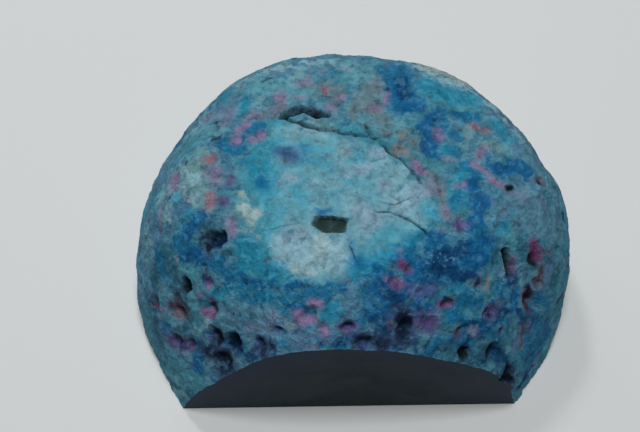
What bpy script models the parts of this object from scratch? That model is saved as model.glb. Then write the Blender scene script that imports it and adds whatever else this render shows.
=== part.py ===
"""A blue-dyed agate nodule, sawn twice, resting on the larger of its two sawn faces.

The rind is described outwards from a point inside the stone, its heart. A rounded block gives the overall form,
flats take its corners off, and swells, a stepped flake scar, pits, holes and lumps are laid over that. Bearings
turn anticlockwise from +X as seen from above, and elevations rise from the level of the heart, both in degrees.
Routes across the crown are plan points, seen from above. The stone is modelled in metres, with +Z up.
"""

import random
from typing import NamedTuple

import bmesh
import bpy
import numpy as np
from mathutils import Vector, noise

MM = 0.001

# The whole nodule, before the saw.
HEART = np.array((0.0, -5.2, 1.0)) * MM
HALF_WIDTH = 39.2 * MM
REACH_BACK = 37.4 * MM
REACH_FRONT = 46.0 * MM
RISE = 34.0 * MM
PLAN_POWER = 1.92
SIDE_POWER = 3.0
FLAT_BLEND = 5.0 * MM

# The two saw cuts.
BASE_HEIGHT = 0.0
FRONT_CUT = -32.1 * MM
SAW_SNAP = 0.02 * MM

# The mesh of the rind, before and after it is thinned.
SPHERE_LEVEL = 7
KEPT_SHARE = 0.165

# Lumps all over the rind: how far apart, and how high.
LUMPS = ((15.0 * MM, 0.5 * MM), (5.5 * MM, 0.3 * MM), (2.6 * MM, 0.1 * MM))

# Pits on the flank that turns away, which follow a rule.
BACK_PIT_COUNT = 26
BACK_PIT_BEARINGS = (22.0, 158.0)
BACK_PIT_ELEVATIONS = (4.0, 40.0)
BACK_PIT_RADII = (0.8 * MM, 1.7 * MM)
BACK_PIT_DEPTHS = (0.4 * MM, 0.9 * MM)
BACK_PIT_SEED = 7

RIND_COLOUR = (0.07, 0.27, 0.38, 1.0)
SAWN_COLOUR = (0.018, 0.022, 0.033, 1.0)
RIND_ROUGHNESS = 0.62
SAWN_ROUGHNESS = 0.38

# How wide the walls of holes and slits are in plan, how far from its place a hole reaches, and how far from its
# ends a slit has its full width.
WALL = 0.7 * MM
HOLE_NEAR = 5.0 * MM
SLIT_TAPER = 3.5 * MM

# Where a pit's rim and wall lie, as shares of its half size, and the lip round it.
PIT_RIM = 1.3
PIT_WALL = 0.9
LIP_REACH = 0.25
LIP_SHARE = 0.1


class Flat(NamedTuple):
    """A worn flat that trims the block: the way it faces, and how far it lies from the heart."""

    facing: tuple
    distance: float


class Swell(NamedTuple):
    """A broad rise, or a hollow where its height is below nought."""

    bearing: float
    elevation: float
    reach: float
    height: float


class Pit(NamedTuple):
    """A hollow in the rind: half its width across the slope, half its length up the slope, and its depth."""

    bearing: float
    elevation: float
    across: float
    upward: float
    depth: float


class Hole(NamedTuple):
    """A steep-sided hole. Its outline's corners are millimetres across and up the slope from its place."""

    bearing: float
    elevation: float
    outline: tuple
    depth: float


class Slit(NamedTuple):
    """An open crack along a route of plan points, which tapers to its ends: its half width and its depth."""

    route: tuple
    half_width: float
    depth: float


FLATS = (
    Flat((0.05, 0.05, 1.0), 29.5 * MM),
    Flat((-0.02, -0.84, 1.5), 34.0 * MM),
    Flat((-0.84, -0.74, 0.7), 36.0 * MM),
    Flat((0.9, -0.8, 0.3), 38.0 * MM),
    Flat((0.65, -0.85, 1.15), 34.5 * MM),
    Flat((0.8, 0.61, 0.3), 41.2 * MM),
    Flat((-0.98, 0.34, 0.5), 41.5 * MM),
)

SWELLS = (
    Swell(6, 26, 8.0 * MM, 0.7 * MM),
    Swell(18, 31, 4.0 * MM, -0.5 * MM),
    Swell(35, 28, 9.0 * MM, 0.7 * MM),
    Swell(58, 35, 7.0 * MM, 0.4 * MM),
    Swell(82, 36, 5.0 * MM, -0.5 * MM),
    Swell(90, 24, 13.0 * MM, -0.4 * MM),
    Swell(108, 37, 8.0 * MM, 0.4 * MM),
    Swell(127, 33, 6.0 * MM, 0.5 * MM),
    Swell(147, 30, 8.0 * MM, -0.3 * MM),
    Swell(179, 17, 4.0 * MM, -0.4 * MM),
    Swell(191, 5, 8.0 * MM, 0.5 * MM),
    Swell(215, 2, 6.0 * MM, -0.4 * MM),
    Swell(316, 10, 5.0 * MM, 0.5 * MM),
    Swell(333, 3, 6.0 * MM, 0.4 * MM),
)

# The flake scar: the rind stands proud above and to the right of this line, and slopes away behind it.
SCAR_EDGE = (
    (-12.5, 9.0),
    (-10.0, 8.5),
    (-6.0, 7.0),
    (-1.0, 6.5),
    (3.5, 6.0),
    (5.5, 5.5),
    (7.5, 2.0),
    (10.0, -0.5),
    (11.0, -3.5),
    (13.0, -6.0),
    (15.0, -6.0),
)
SCAR_STEP = 0.6 * MM
SCAR_WALL = 0.45 * MM
SCAR_FADE = 11.0 * MM
SCAR_END = 5.0 * MM

SLITS = (
    Slit(((-12.5, 9.0), (-10.5, 10.2), (-8.5, 11.2), (-5.6, 10.4), (-3.6, 10.1)), 0.4 * MM, 1.5 * MM),
    Slit(((1.5, 9.0), (3.0, 6.7), (5.5, 5.5)), 0.15 * MM, 0.7 * MM),
    Slit(((0.5, -9.0), (4.5, -9.2), (7.0, -10.5), (9.5, -12.0), (11.5, -14.0)), 0.1 * MM, 0.5 * MM),
    Slit(((-1.5, -15.3), (-0.6, -17.6), (0.1, -19.8)), 0.1 * MM, 0.5 * MM),
)

HOLES = (
    # The rectangular pit in the crown, and the deep hole to its left.
    Hole(241, 75, ((-2.7, -1.8), (-2.9, 0.1), (-0.7, 1.5), (1.9, 2.4), (2.5, -0.2), (-0.7, -2.2)), 2.2 * MM),
    Hole(201, 49, ((-1.5, -0.3), (-0.3, 2.1), (1.1, 1.7), (1.9, 0.0), (0.1, -1.6), (-1.2, -1.8)), 2.3 * MM),
    # Smaller holes in the flanks.
    Hole(335.5, 40.5, ((0.8, 2.4), (-0.7, 0.5), (-1.9, -1.2), (-1.2, -2.2), (0.8, -0.9), (2.1, 1.5)), 1.8 * MM),
    Hole(205, 33, ((-1.2, 0.9), (0.0, 1.4), (1.0, 0.4), (0.9, -1.2), (-0.7, -1.5)), 1.2 * MM),
    Hole(305, 30.5, ((-0.9, 0.8), (0.2, 1.1), (1.2, 0.2), (0.5, -1.2), (-1.1, -0.9)), 1.2 * MM),
    # Chips at the right-hand end of the standing cut, and on the right flank.
    Hole(315, 15, ((1.1, 2.9), (-2.3, 0.5), (-1.4, -0.9), (1.2, -3.0)), 1.0 * MM),
    Hole(322, 3.5, ((-2.7, -0.3), (-1.6, 1.4), (2.6, 1.2), (2.9, 0.2), (0.6, -0.9)), 1.3 * MM),
    Hole(343, 10.5, ((-1.8, -0.6), (-1.5, 1.0), (1.6, 1.0), (1.8, -0.9)), 1.0 * MM),
)

PITS = (
    # The left shoulder, from the back round to the front.
    Pit(102, 54, 0.9 * MM, 0.9 * MM, 0.5 * MM),
    Pit(98, 58, 1.4 * MM, 1.0 * MM, 0.5 * MM),
    Pit(123, 52, 1.1 * MM, 1.2 * MM, 0.5 * MM),
    Pit(142, 47, 1.6 * MM, 1.1 * MM, 0.3 * MM),
    Pit(148, 41, 1.6 * MM, 1.1 * MM, 0.3 * MM),
    Pit(147, 57, 1.0 * MM, 1.0 * MM, 0.6 * MM),
    Pit(153, 53, 1.3 * MM, 1.3 * MM, 0.6 * MM),
    Pit(155, 49, 1.1 * MM, 0.9 * MM, 0.7 * MM),
    Pit(166, 50, 1.4 * MM, 1.1 * MM, 0.7 * MM),
    Pit(175, 52, 1.4 * MM, 1.4 * MM, 0.6 * MM),
    Pit(173, 41, 1.4 * MM, 1.5 * MM, 0.7 * MM),
    Pit(186, 51, 1.4 * MM, 1.3 * MM, 0.7 * MM),
    Pit(199, 55, 1.3 * MM, 1.1 * MM, 0.6 * MM),
    # The right shoulder, from the back round to the front.
    Pit(48, 46, 1.5 * MM, 1.2 * MM, 0.4 * MM),
    Pit(36, 57, 1.2 * MM, 1.1 * MM, 0.6 * MM),
    Pit(29, 47, 1.6 * MM, 1.1 * MM, 0.6 * MM),
    Pit(18, 50, 1.4 * MM, 1.5 * MM, 0.6 * MM),
    Pit(18, 68, 1.0 * MM, 1.5 * MM, 0.5 * MM),
    Pit(6, 38, 1.2 * MM, 1.2 * MM, 0.9 * MM),
    Pit(5, 48, 1.5 * MM, 1.2 * MM, 0.7 * MM),
    Pit(2, 57, 1.4 * MM, 1.0 * MM, 0.5 * MM),
    Pit(358, 31, 1.2 * MM, 1.6 * MM, 0.8 * MM),
    Pit(352, 47, 1.0 * MM, 1.0 * MM, 0.5 * MM),
    Pit(341, 62, 1.1 * MM, 1.2 * MM, 0.5 * MM),
    Pit(339, 56, 1.6 * MM, 1.5 * MM, 0.7 * MM),
    # The front left, down to the standing cut.
    Pit(200, 18, 1.2 * MM, 2.2 * MM, 1.0 * MM),
    Pit(208, 24, 2.1 * MM, 2.2 * MM, 1.5 * MM),
    Pit(211, 40, 1.1 * MM, 1.3 * MM, 0.7 * MM),
    Pit(211, 15, 1.6 * MM, 2.3 * MM, 1.0 * MM),
    Pit(216, 34, 1.4 * MM, 2.1 * MM, 1.2 * MM),
    Pit(216, 19, 1.5 * MM, 2.1 * MM, 1.1 * MM),
    Pit(222, 28, 1.8 * MM, 2.3 * MM, 1.2 * MM),
    Pit(228, 24, 2.2 * MM, 2.3 * MM, 1.4 * MM),
    Pit(229, 32, 1.3 * MM, 1.7 * MM, 1.4 * MM),
    Pit(237, 36, 1.3 * MM, 1.5 * MM, 0.9 * MM),
    Pit(241, 42, 1.1 * MM, 1.0 * MM, 0.8 * MM),
    Pit(250, 49, 1.6 * MM, 1.6 * MM, 0.9 * MM),
    Pit(257, 46, 1.0 * MM, 1.0 * MM, 0.5 * MM),
    Pit(266, 47, 1.5 * MM, 1.1 * MM, 0.9 * MM),
    # The front right, down to the standing cut.
    Pit(273, 43, 2.3 * MM, 1.3 * MM, 0.7 * MM),
    Pit(289, 45, 1.9 * MM, 2.1 * MM, 1.1 * MM),
    Pit(290, 57, 1.4 * MM, 1.4 * MM, 0.6 * MM),
    Pit(301, 59, 1.3 * MM, 1.0 * MM, 0.6 * MM),
    Pit(297, 43, 1.7 * MM, 1.5 * MM, 0.8 * MM),
    Pit(301, 52, 2.0 * MM, 1.0 * MM, 0.5 * MM),
    Pit(307, 45, 1.6 * MM, 1.2 * MM, 0.7 * MM),
    Pit(308, 36, 1.4 * MM, 1.2 * MM, 0.7 * MM),
    Pit(313, 25, 1.7 * MM, 2.0 * MM, 1.5 * MM),
    Pit(319, 35, 1.3 * MM, 1.2 * MM, 0.8 * MM),
    Pit(319, 28, 1.0 * MM, 1.0 * MM, 0.6 * MM),
    Pit(322, 43, 1.2 * MM, 1.1 * MM, 0.8 * MM),
    Pit(325, 20, 1.2 * MM, 1.9 * MM, 0.6 * MM),
    Pit(332, 28, 1.5 * MM, 2.3 * MM, 1.2 * MM),
    Pit(337, 30, 1.0 * MM, 1.3 * MM, 0.8 * MM),
    Pit(342, 35, 1.5 * MM, 1.5 * MM, 1.1 * MM),
    Pit(345, 32, 0.8 * MM, 1.2 * MM, 0.5 * MM),
)


def direction(bearing, elevation):
    """The unit vector that points out along a bearing and an elevation."""
    turn = np.radians(bearing)
    tilt = np.radians(elevation)
    return np.array((np.cos(turn) * np.cos(tilt), np.sin(turn) * np.cos(tilt), np.sin(tilt)))


def smooth_lower(first, second, blend):
    """The lower of two distances, rounded over where they are within a blend of each other."""
    share = np.clip(0.5 + 0.5 * (second - first) / blend, 0.0, 1.0)
    return second * (1.0 - share) + first * share - blend * share * (1.0 - share)


def smooth_step(value):
    """A ramp from nought to one that starts and ends level."""
    held = np.clip(value, 0.0, 1.0)
    return held * held * (3.0 - 2.0 * held)


def form_radius(directions):
    """How far the nodule's plain form reaches from its heart along each direction."""
    x, y, z = directions.T
    reach = np.where(y > 0.0, REACH_BACK, REACH_FRONT)
    plan = np.abs(x / HALF_WIDTH) ** PLAN_POWER + np.abs(y / reach) ** PLAN_POWER
    block = plan ** (SIDE_POWER / PLAN_POWER) + np.abs(z / RISE) ** SIDE_POWER
    radius = block ** (-1.0 / SIDE_POWER)
    for flat in FLATS:
        facing = np.array(flat.facing) / np.linalg.norm(flat.facing)
        towards = np.maximum(directions @ facing, 0.001)
        radius = smooth_lower(radius, flat.distance / towards, FLAT_BLEND)
    return radius


def form_point(bearing, elevation):
    """The point of the plain form along a bearing and an elevation."""
    towards = direction(bearing, elevation)
    return HEART + towards * form_radius(towards[None])[0]


def offsets_from(points, bearing, elevation):
    """Each point's offset from a place on the form: across the slope, up the slope, and out of the rind."""
    place = form_point(bearing, elevation)
    across = form_point(bearing + 0.5, elevation) - form_point(bearing - 0.5, elevation)
    upward = form_point(bearing, elevation + 0.5) - form_point(bearing, elevation - 0.5)
    across /= np.linalg.norm(across)
    outward = np.cross(across, upward)
    outward /= np.linalg.norm(outward)
    upward = np.cross(outward, across)
    away = points - place
    return away @ across, away @ upward, away @ outward


def swell_relief(points, swell):
    """The gentle rise of one swell."""
    away = np.linalg.norm(points - form_point(swell.bearing, swell.elevation), axis=1)
    return swell.height * np.exp(-((away / swell.reach) ** 2))


def pit_relief(points, pit):
    """One pit with a rounded floor, a steeper wall and a faint raised lip."""
    across, upward, outward = offsets_from(points, pit.bearing, pit.elevation)
    wide = max(pit.across, pit.upward)
    share = np.sqrt((across / pit.across) ** 2 + (upward / pit.upward) ** 2 + (outward / wide) ** 2)
    bowl = smooth_step((PIT_RIM - share) / PIT_WALL)
    lip = np.exp(-(((share - PIT_RIM) / LIP_REACH) ** 2))
    return pit.depth * (LIP_SHARE * lip - bowl)


def outside_hole(points, hole):
    """Each point's distance outside a hole's outline, below nought within it."""
    across, upward, outward = offsets_from(points, hole.bearing, hole.elevation)
    plan = np.stack((across, upward), axis=1)
    corners = np.array(hole.outline) * MM
    nearest = np.full(len(points), np.inf)
    crossings = np.zeros(len(points), int)
    for start, end in zip(corners, np.roll(corners, -1, axis=0)):
        along = end - start
        from_start = plan - start
        share = np.clip(from_start @ along / (along @ along), 0.0, 1.0)
        away = from_start - share[:, None] * along
        nearest = np.minimum(nearest, np.hypot(away[:, 0], away[:, 1]))
        spans = (start[1] > upward) != (end[1] > upward)
        level = np.where(spans, start[0] + (upward - start[1]) * along[0] / (along[1] or 1.0), np.inf)
        crossings += spans & (across < level)
    distance = np.where(crossings % 2 == 1, -nearest, nearest)
    return np.where(np.abs(outward) < HOLE_NEAR, distance, HOLE_NEAR)


def hole_relief(points, hole):
    """One steep-sided hole."""
    return -hole.depth * smooth_step(0.5 - outside_hole(points, hole) / WALL)


def route_distance(points, route):
    """Each point's distance in plan from a route, below nought on the side to the route's right."""
    nearest = np.full(len(points), np.inf)
    side = np.ones(len(points))
    plan = points[:, :2]
    corners = np.array(route) * MM
    for start, end in zip(corners[:-1], corners[1:]):
        along = end - start
        share = np.clip((plan - start) @ along / (along @ along), 0.0, 1.0)
        away = plan - start - share[:, None] * along
        distance = np.hypot(away[:, 0], away[:, 1])
        left = along[0] * away[:, 1] - along[1] * away[:, 0] >= 0.0
        closer = distance < nearest
        side = np.where(closer, np.where(left, 1.0, -1.0), side)
        nearest = np.where(closer, distance, nearest)
    return nearest * side


def distance_from_ends(points, route):
    """Each point's distance in plan from the nearer end of a route."""
    first, last = (np.hypot(*(points[:, :2] - np.array(end) * MM).T) for end in (route[0], route[-1]))
    return np.minimum(first, last)


def on_crown(points):
    """One on the upper rind, and nought below the heart."""
    return smooth_step((points[:, 2] - HEART[2]) / (6.0 * MM))


def scar_relief(points):
    """The step along the flake scar, which fades out behind it."""
    distance = route_distance(points, SCAR_EDGE)
    wall = smooth_step(0.5 + distance / SCAR_WALL)
    fade = 1.0 - smooth_step(distance / SCAR_FADE)
    ends = smooth_step(distance_from_ends(points, SCAR_EDGE) / SCAR_END)
    return SCAR_STEP * wall * fade * ends * on_crown(points)


def slit_relief(points, slit):
    """One open crack, narrowing to its floor and to its ends."""
    taper = smooth_step(distance_from_ends(points, slit.route) / SLIT_TAPER)
    outside = np.abs(route_distance(points, slit.route)) - slit.half_width * taper
    return -slit.depth * taper * smooth_step(0.5 - outside / WALL) * on_crown(points)


def lump_relief(points):
    """Rounded lumps all over the rind, of several sizes."""
    return np.array(
        [sum(height * noise.noise(Vector(point) / spacing) for spacing, height in LUMPS) for point in points]
    )


def back_pits():
    """Pits scattered over the flank behind, the same on every run."""
    draw = random.Random(BACK_PIT_SEED)
    pits = []
    for _ in range(BACK_PIT_COUNT):
        bearing = draw.uniform(*BACK_PIT_BEARINGS)
        elevation = draw.uniform(*BACK_PIT_ELEVATIONS)
        across = draw.uniform(*BACK_PIT_RADII)
        upward = across * draw.uniform(0.8, 1.2)
        pits.append(Pit(bearing, elevation, across, upward, draw.uniform(*BACK_PIT_DEPTHS)))
    return pits


def rind_points(directions):
    """The finished rind along each direction."""
    points = HEART + directions * form_radius(directions)[:, None]
    relief = lump_relief(points) + scar_relief(points)
    for swell in SWELLS:
        relief += swell_relief(points, swell)
    for pit in (*PITS, *back_pits()):
        relief += pit_relief(points, pit)
    for hole in HOLES:
        relief += hole_relief(points, hole)
    for slit in SLITS:
        relief += slit_relief(points, slit)
    return points + directions * relief[:, None]


def make_material(name, colour, roughness):
    """A plain Principled finish."""
    material = bpy.data.materials.new(name)
    material.use_nodes = True
    shader = material.node_tree.nodes["Principled BSDF"]
    shader.inputs["Base Color"].default_value = colour
    shader.inputs["Roughness"].default_value = roughness
    shader.inputs["Metallic"].default_value = 0.0
    return material


def unit_rows(shape):
    """The direction of each corner of a mesh from the origin."""
    corners = np.array([vertex.co for vertex in shape.verts])
    return corners / np.linalg.norm(corners, axis=1)[:, None]


def split_fine(shape):
    """Halves the edges that lie on a hole, a slit or the scar, so that their walls come out clean."""
    directions = unit_rows(shape)
    points = HEART + directions * form_radius(directions)[:, None]
    fine = np.abs(route_distance(points, SCAR_EDGE)) < 2.0 * WALL
    for slit in SLITS:
        fine |= np.abs(route_distance(points, slit.route)) < slit.half_width + 2.0 * WALL
    fine &= on_crown(points) > 0.5
    for hole in HOLES:
        fine |= outside_hole(points, hole) < 2.0 * WALL
    edges = [edge for edge in shape.edges if all(fine[vertex.index] for vertex in edge.verts)]
    bmesh.ops.subdivide_edges(shape, edges=edges, cuts=1)
    bmesh.ops.triangulate(shape, faces=shape.faces)


def add_whole_nodule():
    """The nodule before the saw, as a closed mesh whose flat parts hold few faces."""
    bpy.ops.mesh.primitive_ico_sphere_add(subdivisions=SPHERE_LEVEL, radius=1.0)
    nodule = bpy.context.active_object
    nodule.name = nodule.data.name = "agate"
    shape = bmesh.new()
    shape.from_mesh(nodule.data)
    split_fine(shape)
    for vertex, place in zip(shape.verts, rind_points(unit_rows(shape))):
        vertex.co = place
    shape.to_mesh(nodule.data)
    shape.free()
    thin = nodule.modifiers.new("thin", "DECIMATE")
    thin.ratio = KEPT_SHARE
    bpy.ops.object.modifier_apply(modifier=thin.name)
    return nodule


def saw_off(shape, height_of_cut, axis):
    """Takes away all that lies below a height along an axis, and closes the cut with one flat face."""
    facing = Vector((0.0, 0.0, 0.0))
    facing[axis] = 1.0
    cut = bmesh.ops.bisect_plane(
        shape,
        geom=shape.verts[:] + shape.edges[:] + shape.faces[:],
        dist=SAW_SNAP,
        plane_co=facing * height_of_cut,
        plane_no=facing,
        clear_inner=True,
    )
    rim = [item for item in cut["geom_cut"] if isinstance(item, bmesh.types.BMEdge)]
    for edge in rim:
        for vertex in edge.verts:
            vertex.co[axis] = height_of_cut
    filled = bmesh.ops.contextual_create(shape, geom=rim)
    for face in filled["faces"]:
        face.material_index = 1


def saw(nodule):
    """Makes both cuts, and sets the stone with the middle of its base on the origin."""
    shape = bmesh.new()
    shape.from_mesh(nodule.data)
    saw_off(shape, BASE_HEIGHT, 2)
    saw_off(shape, FRONT_CUT, 1)
    bmesh.ops.recalc_face_normals(shape, faces=shape.faces)
    corners = np.array([vertex.co for vertex in shape.verts])
    middle = (corners.min(axis=0) + corners.max(axis=0)) / 2.0
    bmesh.ops.translate(shape, verts=shape.verts, vec=(-middle[0], -middle[1], 0.0))
    shape.to_mesh(nodule.data)
    shape.free()


def main():
    """Builds the stone in an empty scene."""
    for item in list(bpy.data.objects):
        bpy.data.objects.remove(item, do_unlink=True)
    agate = add_whole_nodule()
    agate.data.materials.append(make_material("dyed_rind", RIND_COLOUR, RIND_ROUGHNESS))
    agate.data.materials.append(make_material("sawn_face", SAWN_COLOUR, SAWN_ROUGHNESS))
    saw(agate)
    agate.data.shade_smooth()
    agate.data.set_sharp_from_angle(angle=np.radians(50.0))


main()
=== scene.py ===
"""The look of a blue-dyed agate nodule, sawn twice, lying on the larger of its two sawn faces.

The rind is drawn outwards from the stone's heart. A rounded block with worn flats gives the plain form, and
swells, a flake scar, cracks, holes, pits and lumps are laid over it. Dye is then laid on in stains, whose
edges the finish breaks up with noise. Shade is painted into the pits, holes and cracks, painted light and
shade onto the crust, and painted glints as pale flecks. Bearings turn anticlockwise from +X as seen from
above, and elevations rise from the level of the heart, both in degrees. Plan routes and outlines are
millimetres, seen from above.
"""

import logging
import random
from collections.abc import Iterable, Sequence
from dataclasses import dataclass
from enum import Enum
from math import cos, radians, sin
from typing import NamedTuple

import bpy
import numpy as np
from mathutils import Matrix, Vector, noise


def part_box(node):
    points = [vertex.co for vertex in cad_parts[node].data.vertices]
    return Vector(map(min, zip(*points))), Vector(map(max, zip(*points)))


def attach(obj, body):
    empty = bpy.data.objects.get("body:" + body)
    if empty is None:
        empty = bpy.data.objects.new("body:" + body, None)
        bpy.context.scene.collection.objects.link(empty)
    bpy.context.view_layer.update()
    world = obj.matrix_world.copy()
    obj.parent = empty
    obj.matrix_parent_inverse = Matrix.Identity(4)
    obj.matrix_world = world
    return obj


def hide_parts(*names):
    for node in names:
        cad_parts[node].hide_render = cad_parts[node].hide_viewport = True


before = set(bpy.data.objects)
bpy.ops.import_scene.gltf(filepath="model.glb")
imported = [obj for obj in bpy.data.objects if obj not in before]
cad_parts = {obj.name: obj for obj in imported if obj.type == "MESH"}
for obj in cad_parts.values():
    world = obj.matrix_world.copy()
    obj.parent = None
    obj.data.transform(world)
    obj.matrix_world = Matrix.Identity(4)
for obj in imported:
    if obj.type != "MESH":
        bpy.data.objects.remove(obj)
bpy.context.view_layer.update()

MM = 0.001

Spot = tuple[float, float]
Span = tuple[float, float]
Colour = tuple[float, float, float, float]

LOW_CORNER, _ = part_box("agate")
FRONT_CUT = float(LOW_CORNER[1])
HEART_BEHIND_CUT = 26.9 * MM
HEART_HEIGHT = 1.0 * MM
HEART = np.array((0.0, FRONT_CUT + HEART_BEHIND_CUT, HEART_HEIGHT))
CROWN_FADE = 6.0 * MM

log = logging.getLogger("agate")


def smooth_step(value: np.ndarray) -> np.ndarray:
    """Gives a ramp from nought to one that starts and ends level."""
    held = np.clip(value, 0.0, 1.0)
    return held * held * (3.0 - 2.0 * held)


def edge(inside: np.ndarray, width: float) -> np.ndarray:
    """Ramps smoothly from nought to one across an edge of this width."""
    return smooth_step(0.5 + inside / width)


def within(inside: np.ndarray, width: float) -> np.ndarray:
    """Ramps evenly from nought to one, over this width to each side of an edge."""
    return np.clip(0.5 + 0.5 * inside / width, 0.0, 1.0)


def field(points: np.ndarray, spacing: float, octaves: int = 1) -> np.ndarray:
    """Samples smooth noise at each point.

    Args:
        points: the places to sample, a row each.
        spacing: how far apart the lumps of the noise are, in metres.
        octaves: how many layers it has, each half the size and strength of the one before.

    Returns:
        One value for each point, mostly between -1 and 1.
    """
    total = np.zeros(len(points))
    for octave in range(octaves):
        finer = 2.0**octave
        scaled = (points * (finer / spacing)).tolist()
        total += np.array([noise.noise(Vector(place)) for place in scaled]) / finer
    return total


class Pigment(Enum):
    """The colours that the dye and the stone's own iron have left on the rind, and the pale flecks painted as
    glints.
    """

    AQUA = (0.070, 0.360, 0.470)
    CYAN = (0.080, 0.460, 0.640)
    TEAL = (0.090, 0.325, 0.410)
    STEEL = (0.130, 0.300, 0.410)
    POOL = (0.150, 0.400, 0.480)
    SEA = (0.035, 0.150, 0.220)
    GREY = (0.190, 0.280, 0.310)
    SAGE = (0.210, 0.390, 0.410)
    PALE = (0.250, 0.460, 0.520)
    LILAC = (0.280, 0.410, 0.500)
    CHALK = (0.330, 0.540, 0.620)
    CREAM = (0.430, 0.530, 0.500)
    HAZE = (0.110, 0.250, 0.410)
    AZURE = (0.024, 0.300, 0.460)
    DEEP = (0.011, 0.185, 0.370)
    COBALT = (0.006, 0.140, 0.350)
    NAVY = (0.006, 0.065, 0.185)
    # Pale flecks of crystal grains, painted as glints.
    GLINT = (0.200, 0.430, 0.580)
    PINK = (0.370, 0.225, 0.400)
    ROSE = (0.330, 0.130, 0.310)
    SALMON = (0.410, 0.190, 0.220)
    MAUVE = (0.290, 0.250, 0.370)
    VIOLET = (0.100, 0.150, 0.350)
    PLUM = (0.160, 0.085, 0.270)
    CRIMSON = (0.240, 0.045, 0.150)
    MAROON = (0.120, 0.045, 0.080)
    INDIGO = (0.045, 0.070, 0.220)
    MIDNIGHT = (0.008, 0.018, 0.050)
    SAND = (0.310, 0.290, 0.250)
    MOSS = (0.012, 0.045, 0.042)
    OLIVE = (0.062, 0.105, 0.075)

    def rgba(self) -> Colour:
        """Gives the colour with full alpha."""
        return (*self.value, 1.0)


class Facing(NamedTuple):
    """A place on the form, with the ways across the slope, up the slope and out of the stone."""

    place: np.ndarray
    across: np.ndarray
    upward: np.ndarray
    outward: np.ndarray

    def offsets(self, points: np.ndarray) -> tuple[np.ndarray, np.ndarray, np.ndarray]:
        """Gives each point's distance across the slope, up the slope and outwards from the place."""
        away = points - self.place
        return away @ self.across, away @ self.upward, away @ self.outward


@dataclass(frozen=True)
class Flat:
    """A worn flat that trims the block: the way it faces, and how far it lies from the heart."""

    facing: tuple[float, float, float]
    distance: float


@dataclass(frozen=True)
class Form:
    """The plain form of the whole nodule, before the saw.

    A flat trims only what faces its way by more than least_slant. The step for slopes is in degrees.
    """

    half_width: float = 39.2 * MM
    reach_back: float = 37.4 * MM
    reach_front: float = 46.0 * MM
    rise: float = 34.0 * MM
    plan_power: float = 1.92
    side_power: float = 3.0
    flat_blend: float = 5.0 * MM
    flats: tuple[Flat, ...] = (
        Flat((0.05, 0.05, 1.0), 29.5 * MM),
        Flat((-0.02, -0.84, 1.5), 34.0 * MM),
        Flat((-0.84, -0.74, 0.7), 36.0 * MM),
        Flat((0.9, -0.8, 0.3), 38.0 * MM),
        Flat((0.65, -0.85, 1.15), 34.5 * MM),
        Flat((0.8, 0.61, 0.3), 41.2 * MM),
        Flat((-0.98, 0.34, 0.5), 41.5 * MM),
    )
    least_slant: float = 0.001
    step: float = 0.5

    def radius(self, directions: np.ndarray) -> np.ndarray:
        """Measures how far the form reaches from the heart.

        Args:
            directions: unit vectors, a row each.

        Returns:
            The distance to the surface along each direction.
        """
        x, y, z = directions.T
        reach = np.where(y > 0.0, self.reach_back, self.reach_front)
        plan = np.abs(x / self.half_width) ** self.plan_power + np.abs(y / reach) ** self.plan_power
        block = plan ** (self.side_power / self.plan_power) + np.abs(z / self.rise) ** self.side_power
        radius = block ** (-1.0 / self.side_power)
        for flat in self.flats:
            facing = np.array(flat.facing) / np.linalg.norm(flat.facing)
            trimmed = flat.distance / np.maximum(directions @ facing, self.least_slant)
            share = within(trimmed - radius, self.flat_blend)
            radius = trimmed * (1.0 - share) + radius * share - self.flat_blend * share * (1.0 - share)
        return radius

    def point(self, bearing: float, elevation: float) -> np.ndarray:
        """Finds the point of the form along a bearing and an elevation.

        Args:
            bearing: the point's bearing.
            elevation: the point's elevation.

        Returns:
            The point.
        """
        turn, tilt = radians(bearing), radians(elevation)
        towards = np.array((cos(turn) * cos(tilt), sin(turn) * cos(tilt), sin(tilt)))
        return HEART + towards * self.radius(towards[None])[0]

    def facing(self, bearing: float, elevation: float) -> Facing:
        """Works out how the form lies at a place, from points a small step to each side of it.

        Args:
            bearing: the place's bearing.
            elevation: the place's elevation.

        Returns:
            The place, and its ways across, up and out.
        """
        across = self.point(bearing + self.step, elevation) - self.point(bearing - self.step, elevation)
        upward = self.point(bearing, elevation + self.step) - self.point(bearing, elevation - self.step)
        across /= np.linalg.norm(across)
        outward = np.cross(across, upward)
        outward /= np.linalg.norm(outward)
        return Facing(self.point(bearing, elevation), across, np.cross(outward, across), outward)


FORM = Form()


def off_segment(points: np.ndarray, start: np.ndarray, end: np.ndarray) -> np.ndarray:
    """Finds the way to each point from the nearest place on a segment.

    Args:
        points: the points, a row each.
        start: the segment's start.
        end: its end, which may be the same place.

    Returns:
        The ways, a row each.
    """
    along = end - start
    share = np.clip((points - start) @ along / (along @ along or 1.0), 0.0, 1.0)
    return points - start - share[:, None] * along


def inside_distance(plan: np.ndarray, outline: Sequence[Spot]) -> np.ndarray:
    """Measures how far each plan point lies inside an outline.

    Args:
        plan: two columns of metres.
        outline: the corners in order, in millimetres.

    Returns:
        The distance to the outline, below nought outside it.
    """
    corners = np.array(outline) * MM
    nearest = np.full(len(plan), np.inf)
    crossings = np.zeros(len(plan), int)
    for start, end in zip(corners, np.roll(corners, -1, axis=0)):
        along = end - start
        nearest = np.minimum(nearest, np.linalg.norm(off_segment(plan, start, end), axis=1))
        spans = (start[1] > plan[:, 1]) != (end[1] > plan[:, 1])
        level = start[0] + (plan[:, 1] - start[1]) * along[0] / (along[1] or 1.0)
        crossings += spans & (plan[:, 0] < level)
    return np.where(crossings % 2 == 1, nearest, -nearest)


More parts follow.
